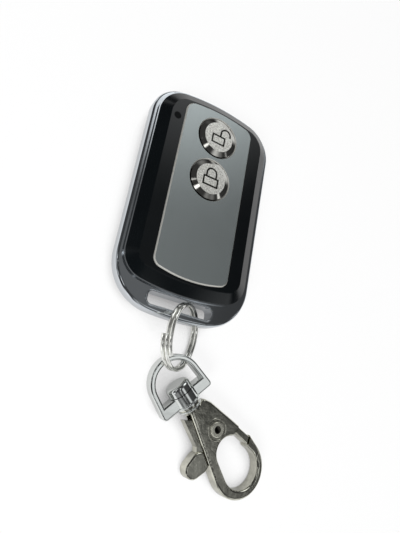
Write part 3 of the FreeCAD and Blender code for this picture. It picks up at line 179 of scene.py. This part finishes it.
def edit(piece):
    take(piece)
    bpy.ops.object.mode_set(mode="EDIT")
    bpy.ops.mesh.select_mode(type="FACE")
    bpy.ops.mesh.select_all(action="DESELECT")


def close_edit(piece):
    bpy.ops.mesh.select_all(action="SELECT")
    bpy.ops.mesh.remove_doubles(threshold=SAME_PLACE)
    bpy.ops.mesh.normals_make_consistent(inside=False)
    bpy.ops.object.mode_set(mode="OBJECT")
    return piece


def pick_edges(piece, wanted):
    """Select the edges of which both ends pass a test."""
    bpy.ops.mesh.select_all(action="DESELECT")
    shape = bmesh.from_edit_mesh(piece.data)
    for edge in shape.edges:
        edge.select_set(all(wanted(vert.co) for vert in edge.verts))
    bmesh.update_edit_mesh(piece.data)


def settle(piece):
    """Move a piece's place, turn and scale into its mesh."""
    take(piece)
    bpy.ops.object.transform_apply(location=True, rotation=True, scale=True)


def unite(pieces, name):
    start_clean()
    for piece in pieces:
        piece.select_set(True)
    bpy.context.view_layer.objects.active = pieces[0]
    bpy.ops.object.join()
    piece = bpy.context.object
    piece.name = piece.data.name = name
    return piece


def bead(centre, axis, radius, across, along):
    """An oval wire bent to a full ring round an axis."""
    outward = axis.orthogonal().normalized()
    start_clean()
    bpy.ops.mesh.primitive_circle_add(vertices=BEAD_SIDES, radius=1.0, fill_type="NOTHING")
    ring = bpy.context.object
    turn = Matrix((outward, axis, outward.cross(axis))).transposed().to_4x4()
    oval = Matrix.Diagonal((across / 2, along / 2, 1.0, 1.0))
    ring.matrix_world = Matrix.Translation(centre + outward * radius) @ turn @ oval
    settle(ring)
    edit(ring)
    bpy.ops.mesh.select_mode(type="VERT")
    bpy.ops.mesh.select_all(action="SELECT")
    bpy.ops.mesh.spin(steps=BEAD_STEPS, angle=math.tau, center=centre, axis=axis)
    close_edit(ring)
    bpy.ops.object.shade_smooth()
    return ring


def finish_piece(piece, name, body, material):
    piece.name = piece.data.name = name
    piece.data.materials.clear()
    piece.data.materials.append(material)
    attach(piece, body)


# Finishes

class Patch:
    """Nodes of one tree, placed and joined."""

    COLUMN_WIDTH = 190

    def __init__(self, tree):
        self.tree = tree
        self.tree.nodes.clear()
        self.column = 0

    def add(self, kind, inputs=None, **settings):
        node = self.tree.nodes.new(kind)
        node.location = (self.column * self.COLUMN_WIDTH, 0)
        self.column += 1
        for key, value in settings.items():
            setattr(node, key, value)
        self.feed(node, inputs or {})
        return node

    def feed(self, node, inputs):
        """Give each input its value, or join it to the socket that is given."""
        for key, value in inputs.items():
            if isinstance(value, bpy.types.NodeSocket):
                self.tree.links.new(value, node.inputs[key])
            else:
                node.inputs[key].default_value = value

    def maths(self, operation, first, second=0.0, clamp=False):
        node = self.add("ShaderNodeMath", {0: first, 1: second}, operation=operation, use_clamp=clamp)
        return node.outputs["Value"]

    def vector(self, operation, first, second=(0.0, 0.0, 0.0)):
        node = self.add("ShaderNodeVectorMath", {0: first, 1: second}, operation=operation)
        return node.outputs["Value" if operation in ("LENGTH", "DOT_PRODUCT") else "Vector"]

    def span(self, value, low, high, to_low, to_high, **settings):
        node = self.add("ShaderNodeMapRange", {"Value": value, "From Min": low, "From Max": high,
                                               "To Min": to_low, "To Max": to_high}, **settings)
        return node.outputs["Result"]

    def between(self, mask, clear, full):
        """A value that goes from clear to full with a mask."""
        return self.span(mask, 0.0, 1.0, clear, full)

    def blend(self, mask, first, second):
        """A colour mix; its inputs go by number, because names repeat on this node."""
        node = self.add("ShaderNodeMix", {0: mask, 6: first, 7: second}, data_type="RGBA")
        return node.outputs[2]

    def noise(self, place, size, detail, rough, distortion=0.0):
        node = self.add("ShaderNodeTexNoise", {"Vector": place, "Scale": size, "Detail": detail,
                                               "Roughness": rough, "Distortion": distortion})
        return node.outputs["Fac"]

    def bump(self, height, strength, depth):
        node = self.add("ShaderNodeBump", {"Strength": strength, "Distance": depth, "Height": height})
        return node.outputs["Normal"]

    def place(self):
        return self.add("ShaderNodeTexCoord").outputs["Object"]

    def split(self, vector):
        return self.add("ShaderNodeSeparateXYZ", {"Vector": vector}).outputs


def new_effect(name, inputs, outputs):
    """A node group with named sockets, made once."""
    group = bpy.data.node_groups.new(name, "ShaderNodeTree")
    for socket, default in inputs:
        made = group.interface.new_socket(name=socket, in_out="INPUT", socket_type="NodeSocketFloat")
        made.default_value = default
    for socket in outputs:
        group.interface.new_socket(name=socket, in_out="OUTPUT", socket_type="NodeSocketFloat")
    patch = Patch(group)
    start = patch.add("NodeGroupInput")
    return group, patch, start.outputs


def fine_grain():
    """Small even unevenness, as of moulding, blasting or plating."""
    group, patch, start = new_effect("Fine Grain", (("Size", 1000.0), ("Detail", 3.0)), ("Height", "Tone"))
    noise = patch.noise(patch.place(), start["Size"], start["Detail"], 0.6)
    patch.add("NodeGroupOutput", {"Height": noise, "Tone": patch.span(noise, 0.35, 0.65, 0.0, 1.0)})
    return group


def handling_marks():
    """Broad faint smears that change how a surface shines."""
    group, patch, start = new_effect("Handling Marks", (("Size", 120.0), ("Spread", 0.5)), ("Mask",))
    noise = patch.noise(patch.place(), start["Size"], 5.0, 0.65, distortion=0.6)
    low = patch.maths("SUBTRACT", 0.55, start["Spread"])
    patch.add("NodeGroupOutput", {"Mask": patch.span(noise, low, 0.75, 0.0, 1.0)})
    return group


def drawn_lines():
    """Hair lines of a metal brushed along Y."""
    group, patch, start = new_effect("Drawn Lines", (("Count", 3000.0), ("Stretch", 0.01)),
                                     ("Height", "Tone"))
    split = patch.split(patch.place())
    along = patch.maths("MULTIPLY", split["Y"], start["Stretch"])
    drawn = patch.add("ShaderNodeCombineXYZ", {"X": split["X"], "Y": along, "Z": split["Z"]})
    noise = patch.noise(drawn.outputs["Vector"], start["Count"], 2.0, 0.5)
    patch.add("NodeGroupOutput", {"Height": noise, "Tone": patch.span(noise, 0.3, 0.7, 0.0, 1.0)})
    return group


def tilted_faces():
    """Where a face leans away from level: the bevels and sides of a flat piece."""
    group, patch, start = new_effect("Tilted Faces", (("Level", 0.98), ("Side", 0.9)), ("Mask",))
    upright = patch.split(patch.add("ShaderNodeNewGeometry").outputs["True Normal"])["Z"]
    patch.add("NodeGroupOutput", {"Mask": patch.span(upright, start["Level"], start["Side"], 0.0, 1.0)})
    return group


EFFECTS = {"grain": fine_grain, "marks": handling_marks, "lines": drawn_lines, "tilt": tilted_faces}
made_effects = {}


def effect(patch, name, **inputs):
    """Place an effect's group with its own values, and give its outputs."""
    if name not in made_effects:
        made_effects[name] = EFFECTS[name]()
    return patch.add("ShaderNodeGroup", inputs, node_tree=made_effects[name]).outputs


def shaded(value, factor):
    return tuple(min(channel * factor, 1.0) for channel in value) + (1.0,)


def new_finish(name):
    """A material with a Principled surface, ready to be fed."""
    material = bpy.data.materials.new(name)
    material.use_nodes = True
    patch = Patch(material.node_tree)
    surface = patch.add("ShaderNodeBsdfPrincipled")
    patch.add("ShaderNodeOutputMaterial", {"Surface": surface.outputs["BSDF"]})
    return material, patch, surface


def plated(name, paint, rough, grain_size=900.0, grain_depth=0.02, marks_size=160.0, speckle=0.0,
           metal=1.0, wave=0.35):
    """Bright plating: smears change the shine, and a fine grain breaks the reflections."""
    material, patch, surface = new_finish(name)
    marks = effect(patch, "marks", Size=marks_size, Spread=0.35)["Mask"]
    grain = effect(patch, "grain", Size=grain_size, Detail=4.0)
    spots = patch.maths("MULTIPLY", grain["Tone"], speckle)
    smears = patch.maths("MULTIPLY", marks, 0.12)
    dull = patch.maths("ADD", spots, smears, clamp=True)
    patch.feed(surface, {
        "Metallic": metal,
        "Base Color": patch.blend(dull, shaded(paint, 1.0), shaded(paint, 0.62)),
        "Roughness": patch.between(marks, rough, rough * 1.7 + 0.02),
        "Normal": patch.bump(grain["Height"], wave, grain_depth * MM),
    })
    return material


def moulded(name, paint, rough, specular=0.5, grain_size=2600.0, grain_depth=0.006, coat=0.0):
    """Moulded plastic: faint texture, and a shine that handling has made uneven."""
    material, patch, surface = new_finish(name)
    marks = effect(patch, "marks", Size=90.0, Spread=0.4)["Mask"]
    grain = effect(patch, "grain", Size=grain_size, Detail=3.0)
    patch.feed(surface, {
        "Specular IOR Level": specular,
        "Coat Weight": coat,
        "Coat Roughness": 0.08,
        "Base Color": patch.blend(marks, shaded(paint, 1.0), shaded(paint, 1.5)),
        "Roughness": patch.between(marks, rough, rough + 0.08),
        "Normal": patch.bump(grain["Height"], 0.4, grain_depth * MM),
    })
    return material


def brushed_plate(name, paint, edge):
    """Satin plate whose cut edges are left pale and bare."""
    material, patch, surface = new_finish(name)
    lines = effect(patch, "lines", Count=2600.0, Stretch=0.012)
    marks = effect(patch, "marks", Size=70.0, Spread=0.4)["Mask"]
    bevels = effect(patch, "tilt", Level=0.99, Side=0.9)["Mask"]
    satin = patch.blend(lines["Tone"], shaded(paint, 0.98), shaded(paint, 1.02))
    patch.feed(surface, {
        "Base Color": patch.blend(bevels, satin, shaded(edge, 1.0)),
        "Metallic": patch.between(bevels, 0.8, 0.35),
        "Roughness": patch.between(marks, 0.20, 0.27),
        "Normal": patch.bump(lines["Height"], 0.05, 0.004 * MM),
    })
    return material


def key_cap(name, paint):
    """Cast cap: a blasted, speckled face inside a polished slope."""
    material, patch, surface = new_finish(name)
    grain = effect(patch, "grain", Size=2600.0, Detail=2.0)
    slope = effect(patch, "tilt", Level=0.995, Side=0.97)["Mask"]
    face = patch.blend(grain["Tone"], shaded(paint, 1.12), shaded(paint, 0.6))
    patch.feed(surface, {
        "Base Color": patch.blend(slope, face, shaded(paint, 0.55)),
        "Metallic": patch.between(slope, 0.7, 1.0),
        "Roughness": patch.between(slope, 0.42, 0.07),
        "Normal": patch.bump(grain["Height"], patch.between(slope, 0.5, 0.05), 0.05 * MM),
    })
    return material


def hollow_rivet(name, paint):
    """A bright rolled rim round a centre painted dark, as painted shade."""
    material, patch, surface = new_finish(name)
    pivot, axis = hinge_of("trigger_press")
    offset = patch.vector("SUBTRACT", patch.place(), pivot)
    reach = patch.vector("LENGTH", patch.vector("CROSS_PRODUCT", offset, axis))
    # painted shade: the centre inside the rolled rim is painted near black, standing in for the shade in
    # the rivet's recess
    hollow_shade = patch.span(reach, HOLLOW_RADIUS, RIM_RADIUS, 1.0, 0.0)
    grain = effect(patch, "grain", Size=900.0, Detail=3.0)
    rim = patch.blend(grain["Tone"], shaded(paint, 1.0), shaded(paint, 0.8))
    patch.feed(surface, {
        "Metallic": 0.85,
        "Base Color": patch.blend(hollow_shade, rim, shaded(paint, 0.08)),
        "Roughness": patch.between(hollow_shade, 0.2, 0.6),
        "Normal": patch.bump(grain["Height"], 0.3, 0.03 * MM),
    })
    return material


def clear_resin(name, paint, rough):
    """Cast resin that lets most of the light through, a little cloudy."""
    material, patch, surface = new_finish(name)
    cloud = effect(patch, "grain", Size=1500.0, Detail=2.0)["Tone"]
    patch.feed(surface, {
        "Transmission Weight": 0.6,
        "IOR": 1.49,
        "Base Color": patch.blend(cloud, shaded(paint, 1.0), shaded(paint, 0.85)),
        "Roughness": patch.between(cloud, rough, rough + 0.05),
    })
    return material


def wear(node, material):
    """Give a carried-over piece its finish."""
    piece = frame["nodes"][node]
    if not piece.material_slots:
        piece.data.materials.append(material)
    for slot in piece.material_slots:
        slot.material = material


# Pieces

class PieceOperator(Operator):
    bl_options = {"REGISTER", "UNDO"}


class REMOTE_OT_case(PieceOperator):
    """Finish the black covers, the indicator's window, the plated rim and the screws"""
    bl_idname = "remote.case"
    bl_label = "Case and rim"

    def execute(self, context):
        colours = context.scene.remote_colours
        smoke = shaded(colours.cover_black, 0.4)[:3]
        wear("front_cover", moulded("Cover Black", colours.cover_black, 0.13))
        wear("back_cover", moulded("Back Black", colours.cover_black, 0.34, grain_size=3200.0,
                                   grain_depth=0.02))
        wear("chrome_frame", plated("Rim Plating", colours.rim_plating, 0.07, marks_size=110.0))
        wear("led_lens", moulded("Window Smoke", smoke, 0.3, specular=0.1))
        wear("cover_screws", plated("Screw Zinc", SCREW_ZINC, 0.25, speckle=0.3))
        return {"FINISHED"}


class REMOTE_OT_face(PieceOperator):
    """Finish the brushed face plate"""
    bl_idname = "remote.face"
    bl_label = "Face plate"

    def execute(self, context):
        colours = context.scene.remote_colours
        wear("face_plate", brushed_plate("Brushed Silver", colours.plate_silver, colours.plate_edge))
        return {"FINISHED"}


def raise_enamel(piece, sizes):
    """Thicken a flat outline up to the level of the enamel."""
    bpy.ops.mesh.select_all(action="SELECT")
    thick = sizes.icon_depth - sizes.enamel_sink
    bpy.ops.mesh.extrude_region_move(TRANSFORM_OT_translate={"value": (0.0, 0.0, thick)})
    return close_edit(piece)


def padlock_body(sizes, centre, width):
    """A square ring in the groove of the padlock's body."""
    gap = sizes.enamel_gap
    bpy.ops.mesh.primitive_plane_add(size=1.0, location=centre)
    plane = bpy.context.object
    plane.scale = (width - gap * 2, sizes.icon_height - gap * 2, 1.0)
    settle(plane)
    edit(plane)
    bpy.ops.mesh.select_all(action="SELECT")
    bpy.ops.mesh.inset(thickness=sizes.icon_line - gap * 2, depth=0.0)
    bpy.ops.mesh.delete(type="FACE")
    return raise_enamel(plane, sizes)


def padlock_bow(sizes, centre, opened):
    """A half ring with two legs, of which the right one stays short on an open lock."""
    gap = sizes.enamel_gap
    short = sizes.bow_leg * FREE_LEG
    start_clean()
    bpy.ops.mesh.primitive_plane_add(size=1.0, location=centre)
    strip = bpy.context.object
    strip.location.x += sizes.bow_radius
    strip.location.y -= short / 2
    strip.scale = (sizes.icon_line - gap * 2, short, 1.0)
    settle(strip)
    edit(strip)
    pick_edges(strip, lambda spot: spot.y > centre[1] - SAME_PLACE)
    bpy.ops.mesh.spin(steps=BOW_STEPS, angle=-math.pi, center=centre, axis=(0.0, 0.0, 1.0))
    bpy.ops.mesh.extrude_region_move(TRANSFORM_OT_translate={"value": (0.0, gap - sizes.bow_leg, 0.0)})
    if not opened:
        foot = centre[1] - short + SAME_PLACE
        pick_edges(strip, lambda spot: spot.x > centre[0] and spot.y < foot)
        rest = gap + short - sizes.bow_leg
        bpy.ops.mesh.extrude_region_move(TRANSFORM_OT_translate={"value": (0.0, rest, 0.0)})
    return raise_enamel(strip, sizes)


class REMOTE_OT_keys(PieceOperator):
    """Finish the two button caps and fill their engraved padlocks with enamel"""
    bl_idname = "remote.keys"
    bl_label = "Buttons"

    def execute(self, context):
        sizes, colours = context.scene.remote_sizes, context.scene.remote_colours
        cap = key_cap("Key Cap Silver", colours.key_silver)
        enamel = moulded("Padlock Enamel", colours.enamel_black, 0.5, specular=0.15, grain_size=4000.0)
        for name, opened in (("unlock", True), ("lock", False)):
            wear(f"button_{name}", cap)
            floor = top_of(f"button_{name}") - sizes.icon_depth
            body_y = middle_of(f"button_{name}").y - sizes.icon_drop
            body = padlock_body(sizes, (0.0, body_y, floor), getattr(sizes, f"{name}_icon_width"))
            shift = sizes.bow_radius * OPEN_SHIFT if opened else 0.0
            bow_y = body_y + sizes.icon_height / 2 + sizes.bow_leg
            bow = padlock_bow(sizes, (shift, bow_y, floor), opened)
            finish_piece(unite([body, bow], f"{name}_enamel"), f"{name}_enamel", f"{name}_key",
                         enamel)
        return {"FINISHED"}


class REMOTE_OT_ring(PieceOperator):
    """Finish the split ring"""
    bl_idname = "remote.ring"
    bl_label = "Split ring"

    def execute(self, context):
        wear("split_ring", plated("Ring Nickel", context.scene.remote_colours.ring_nickel, 0.09,
                                  grain_size=1400.0, grain_depth=0.004, metal=0.9))
        return {"FINISHED"}


class REMOTE_OT_clasp(PieceOperator):
    """Finish the swivel eye, the clasp and its trigger"""
    bl_idname = "remote.clasp"
    bl_label = "Swivel and clasp"

    def execute(self, context):
        sizes, colours = context.scene.remote_sizes, context.scene.remote_colours
        cast = plated("Cast Nickel", colours.clasp_nickel, 0.09, grain_size=420.0, grain_depth=0.1,
                      marks_size=420.0, speckle=0.8, wave=0.8)
        bright = plated("Bright Nickel", colours.eye_nickel, 0.08, grain_size=260.0, grain_depth=0.05)
        for node in ("clasp_body", "trigger_lever"):
            wear(node, cast)
        for node in ("swivel_eye", "swivel_post"):
            wear(node, bright)
        wear("trigger_rivet", hollow_rivet("Rivet Nickel", shaded(colours.clasp_nickel, 1.1)[:3]))
        wear("trigger_spring", plated("Spring Wire", SPRING_GREY, 0.2))
        self.swivel_beads(sizes, bright)
        self.rivet_crease(sizes, cast)
        return {"FINISHED"}

    def swivel_beads(self, sizes, material):
        """A bead on the eye's barrel, and one on the clasp's collar."""
        place, axis = hinge_of("clasp_swivel")
        spots = (("barrel_bead", "eye", BARREL_FRONT - sizes.bead_width, BARREL_RADIUS),
                 ("collar_bead", "clasp", COLLAR_MIDDLE, COLLAR_RADIUS))
        for name, body, along, radius in spots:
            ring = bead(place + axis * along, axis, radius, sizes.bead_height * 2, sizes.bead_width)
            finish_piece(ring, name, body, material)

    def rivet_crease(self, sizes, material):
        """The ring that pressing the rivet leaves on the clasp's face."""
        pivot, axis = hinge_of("trigger_press")
        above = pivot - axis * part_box("clasp_body")[1][2]
        beside = above + axis.orthogonal().normalized() * sizes.crease_radius
        hit, face = frame["nodes"]["clasp_body"].ray_cast(beside, axis)[:2]
        if not hit:
            raise RuntimeError("no face beside the rivet")
        centre = pivot - axis * (pivot - face).dot(axis)
        ring = bead(centre, axis, sizes.crease_radius, sizes.crease_width, sizes.crease_height * 2)
        finish_piece(ring, "rivet_crease", "clasp", material)


class REMOTE_OT_electronics(PieceOperator):
    """Finish the board and everything on it, inside the case"""
    bl_idname = "remote.electronics"
    bl_label = "Electronics"

    def execute(self, context):
        colours = context.scene.remote_colours
        tin = plated("Tinned Parts", TIN_GREY, 0.3, speckle=0.3)
        black = moulded("Moulded Black", CHIP_BLACK, 0.5)
        steel = plated("Cell Steel", CELL_STEEL, 0.22)
        finishes = {
            "circuit_board": moulded("Board Resist", colours.board_green, 0.3, coat=0.2),
            "encoder_chip": black, "rf_transistor": black, "switch_plunger_unlock": black,
            "switch_plunger_lock": black, "antenna_loop": plated("Copper", COPPER_RED, 0.3),
            "tact_switch_unlock": tin, "tact_switch_lock": tin, "saw_resonator": tin,
            "chip_passives": moulded("Chip Body", CHIP_BROWN, 0.45),
            "indicator_led": clear_resin("Lamp Resin", LAMP_STRAW, 0.12),
            "coin_cell": steel, "battery_contact": steel, "battery_clip": steel,
        }
        for node, material in finishes.items():
            wear(node, material)
        return {"FINISHED"}


# Camera, light and floor

CAMERA_RIGHT = Vector((0.85599, 0.17424, 0.48674))
CAMERA_DOWN = Vector((0.30562, -0.92992, -0.20457))
CAMERA_AHEAD = Vector((0.41698, 0.32387, -0.84926))
CAMERA_PLACE = Vector((-43.97, -53.71, 103.37)) * MM
CAMERA_LENS = 40.5
CAMERA_SENSOR = 36.0
CAMERA_NEAR = 0.005
CAMERA_FAR = 20.0

LAMP_PLACE = Vector((-0.25, -0.35, 0.35))
LAMP_TARGET = Vector((0.0, -0.01, 0.0))
LAMP_SIZE = 0.2
LAMP_POWER = 4.0

# Soft boxes of the studio: heading and height in degrees, how far each is full and where it ends,
# in degrees from its middle, and its strength
GLOWS = (
    (75.0, 37.0, 5.0, 25.0, 1.6), (46.0, 67.0, 6.0, 14.0, 0.1), (209.0, 77.0, 2.0, 6.0, 2.6),
    (160.0, 62.0, 2.0, 5.0, 2.6), (-22.0, 68.0, 3.0, 14.0, 0.9), (-18.0, 53.0, 2.0, 11.0, 0.22),
    (275.0, 24.0, 8.0, 23.0, 0.9), (315.0, 18.0, 8.0, 23.0, 0.9), (200.0, 34.0, 2.0, 7.0, 1.6),
    (0.0, 36.0, 2.0, 6.0, 1.2), (120.0, 16.0, 2.0, 8.0, 1.2), (270.0, 60.0, 2.0, 7.0, 1.4),
    (240.0, 16.0, 4.0, 14.0, 1.4), (176.0, 28.0, 5.0, 20.0, 0.6),
)
WHITE = (1.0, 1.0, 1.0, 1.0)

# The dark ceiling's strength low down and from a rise of CEILING_TOP up, and its tint. Reflections
# show white below LOW_SKY_FULL, and it ends at LOW_SKY_END. A rise of 1 is straight up.
CEILING_LOW = 0.03
CEILING_HIGH = 0.06
CEILING_TOP = 0.6
CEILING_TINT = (0.97, 0.99, 1.0, 1.0)
LOW_SKY_FULL = 0.06
LOW_SKY_END = 0.16

# The table: its strength in reflections, and the share of it that is plain white. Its shadow is as deep
# as SHADOW_DEPTH where what stands within SHADOW_REACH hides the sky, and ends where that is open.
FLOOR_SIZE = 6.0
FLOOR_GAP = 0.02 * MM
FLOOR_GLARE = 0.95
FLOOR_WHITENESS = 0.92
SHADOW_REACH = 12.0 * MM
SHADOW_DEPTH = 0.15
SHADOW_SEEN = (0.0, 0.6)
SHADOW_REFLECTED = (0.1, 0.9)


def place_camera():
    data = bpy.data.cameras.new("Camera")
    data.sensor_fit, data.sensor_width, data.lens = "HORIZONTAL", CAMERA_SENSOR, CAMERA_LENS
    data.clip_start, data.clip_end = CAMERA_NEAR, CAMERA_FAR
    camera = bpy.data.objects.new("Camera", data)
    bpy.context.collection.objects.link(camera)
    turn = Matrix((CAMERA_RIGHT, -CAMERA_DOWN, -CAMERA_AHEAD)).transposed()
    camera.matrix_world = Matrix.Translation(CAMERA_PLACE) @ turn.to_4x4()
    bpy.context.scene.camera = camera


def direction(heading, height):
    """The way to a spot of the sky, from its heading and height in degrees."""
    across, up = math.radians(heading), math.radians(height)
    return Vector((math.cos(up) * math.cos(across), math.cos(up) * math.sin(across), math.sin(up)))


def light_sky():
    """White behind the object and low round it, with soft boxes under a dark ceiling in the reflections."""
    world = bpy.data.worlds.new("Studio")
    world.use_nodes = True
    bpy.context.scene.world = world
    patch = Patch(world.node_tree)
    place = patch.add("ShaderNodeTexCoord").outputs["Generated"]
    height = patch.split(place)["Z"]
    level = patch.span(height, 0.0, CEILING_TOP, CEILING_LOW, CEILING_HIGH)
    for heading, rise, inner, outer, peak in GLOWS:
        away = patch.maths("ARCCOSINE", patch.vector("DOT_PRODUCT", place, direction(heading, rise)))
        glow = patch.span(away, math.radians(outer), math.radians(inner), 0.0, peak,
                          interpolation_type="SMOOTHSTEP")
        level = patch.maths("ADD", level, glow)
    ray = patch.add("ShaderNodeLightPath").outputs
    low_sky = patch.span(height, LOW_SKY_FULL, LOW_SKY_END, 1.0, 0.0)
    low_sky = patch.maths("MULTIPLY", low_sky, ray["Is Glossy Ray"])
    backdrop = patch.maths("MAXIMUM", ray["Is Camera Ray"], ray["Is Transmission Ray"])
    level = patch.maths("MAXIMUM", patch.maths("MAXIMUM", level, low_sky), backdrop)
    tint = patch.blend(backdrop, CEILING_TINT, WHITE)
    sky = patch.add("ShaderNodeBackground", {"Color": tint, "Strength": level})
    patch.add("ShaderNodeOutputWorld", {"Surface": sky.outputs["Background"]})


def add_lamp(name):
    """A soft lamp that lights the object and doesn't show in its reflections."""
    data = bpy.data.lights.new(name, "AREA")
    data.shape, data.size, data.energy = "DISK", LAMP_SIZE, LAMP_POWER
    lamp = bpy.data.objects.new(name, data)
    bpy.context.collection.objects.link(lamp)
    lamp.location = LAMP_PLACE
    lamp.rotation_euler = (LAMP_TARGET - LAMP_PLACE).to_track_quat("-Z", "Y").to_euler()
    lamp.visible_glossy = False


def pale_floor(paint):
    """A pale table: white to the camera and in reflections, with the object's shadow.

    What a joint swings below the table top shows through it."""
    material = bpy.data.materials.new("Pale Floor")
    material.use_nodes = True
    patch = Patch(material.node_tree)
    marks = effect(patch, "marks", Size=6.0, Spread=0.3)["Mask"]
    cloth = patch.blend(marks, shaded(paint, 1.0), shaded(paint, 0.98))
    matt = patch.add("ShaderNodeBsdfDiffuse", {"Color": cloth}).outputs["BSDF"]
    ray = patch.add("ShaderNodeLightPath").outputs
    open_sky = patch.add("ShaderNodeAmbientOcclusion", {"Distance": SHADOW_REACH}).outputs["AO"]
    under = patch.span(open_sky, *SHADOW_REFLECTED, SHADOW_DEPTH, 1.0)
    glare = patch.maths("MULTIPLY", under, FLOOR_GLARE)
    white = patch.add("ShaderNodeEmission", {"Color": WHITE, "Strength": glare}).outputs["Emission"]
    shadow = patch.span(open_sky, *SHADOW_SEEN, SHADOW_DEPTH, 1.0)
    clear = patch.add("ShaderNodeBsdfTransparent", {"Color": shadow}).outputs["BSDF"]
    passing = patch.maths("MAXIMUM", ray["Is Camera Ray"], ray["Is Shadow Ray"])
    table = patch.add("ShaderNodeMixShader", {"Fac": passing, 1: white, 2: clear}).outputs["Shader"]
    bright = patch.maths("MAXIMUM", ray["Is Glossy Ray"], ray["Is Transmission Ray"])
    plain = patch.maths("MULTIPLY", patch.maths("MAXIMUM", bright, passing), FLOOR_WHITENESS)
    both = patch.add("ShaderNodeMixShader", {"Fac": plain, 1: matt, 2: table}).outputs["Shader"]
    patch.add("ShaderNodeOutputMaterial", {"Surface": both})
    return material


class REMOTE_OT_stage(PieceOperator):
    """Set up the camera, the lamp, the sky and the floor"""
    bl_idname = "remote.stage"
    bl_label = "Stage"

    def execute(self, context):
        place_camera()
        light_sky()
        add_lamp("Front Box")
        bpy.ops.mesh.primitive_plane_add(size=FLOOR_SIZE, location=(0.0, 0.0, CAD_BOX[0][2] - FLOOR_GAP))
        floor = context.object
        floor.name = floor.data.name = "floor"
        floor.data.materials.append(pale_floor(context.scene.remote_colours.floor_white))
        context.scene.view_settings.view_transform = "Standard"
        return {"FINISHED"}


OPERATORS = (REMOTE_OT_stage, REMOTE_OT_case, REMOTE_OT_face, REMOTE_OT_keys, REMOTE_OT_ring,
             REMOTE_OT_clasp, REMOTE_OT_electronics)


class REMOTE_PT_panel(Panel):
    """Steps that finish the remote"""
    bl_label = "Gate Remote"
    bl_idname = "REMOTE_PT_panel"
    bl_space_type = "VIEW_3D"
    bl_region_type = "UI"
    bl_category = "Remote"

    def draw(self, context):
        for step in OPERATORS:
            self.layout.operator(step.bl_idname)
        for group in (context.scene.remote_sizes, context.scene.remote_colours):
            box = self.layout.box()
            for name in group.__annotations__:
                box.prop(group, name)


CLASSES = (RemoteSizes, RemoteColours) + OPERATORS + (REMOTE_PT_panel,)


def register():
    for item in CLASSES:
        bpy.utils.register_class(item)
    bpy.types.Scene.remote_sizes = PointerProperty(type=RemoteSizes)
    bpy.types.Scene.remote_colours = PointerProperty(type=RemoteColours)


def unregister():
    del bpy.types.Scene.remote_colours
    del bpy.types.Scene.remote_sizes
    for item in reversed(CLASSES):
        bpy.utils.unregister_class(item)


def main():
    register()
    for step in OPERATORS:
        group, name = step.bl_idname.split(".")
        getattr(getattr(bpy.ops, group), name)()


if __name__ == "__main__":
    main()
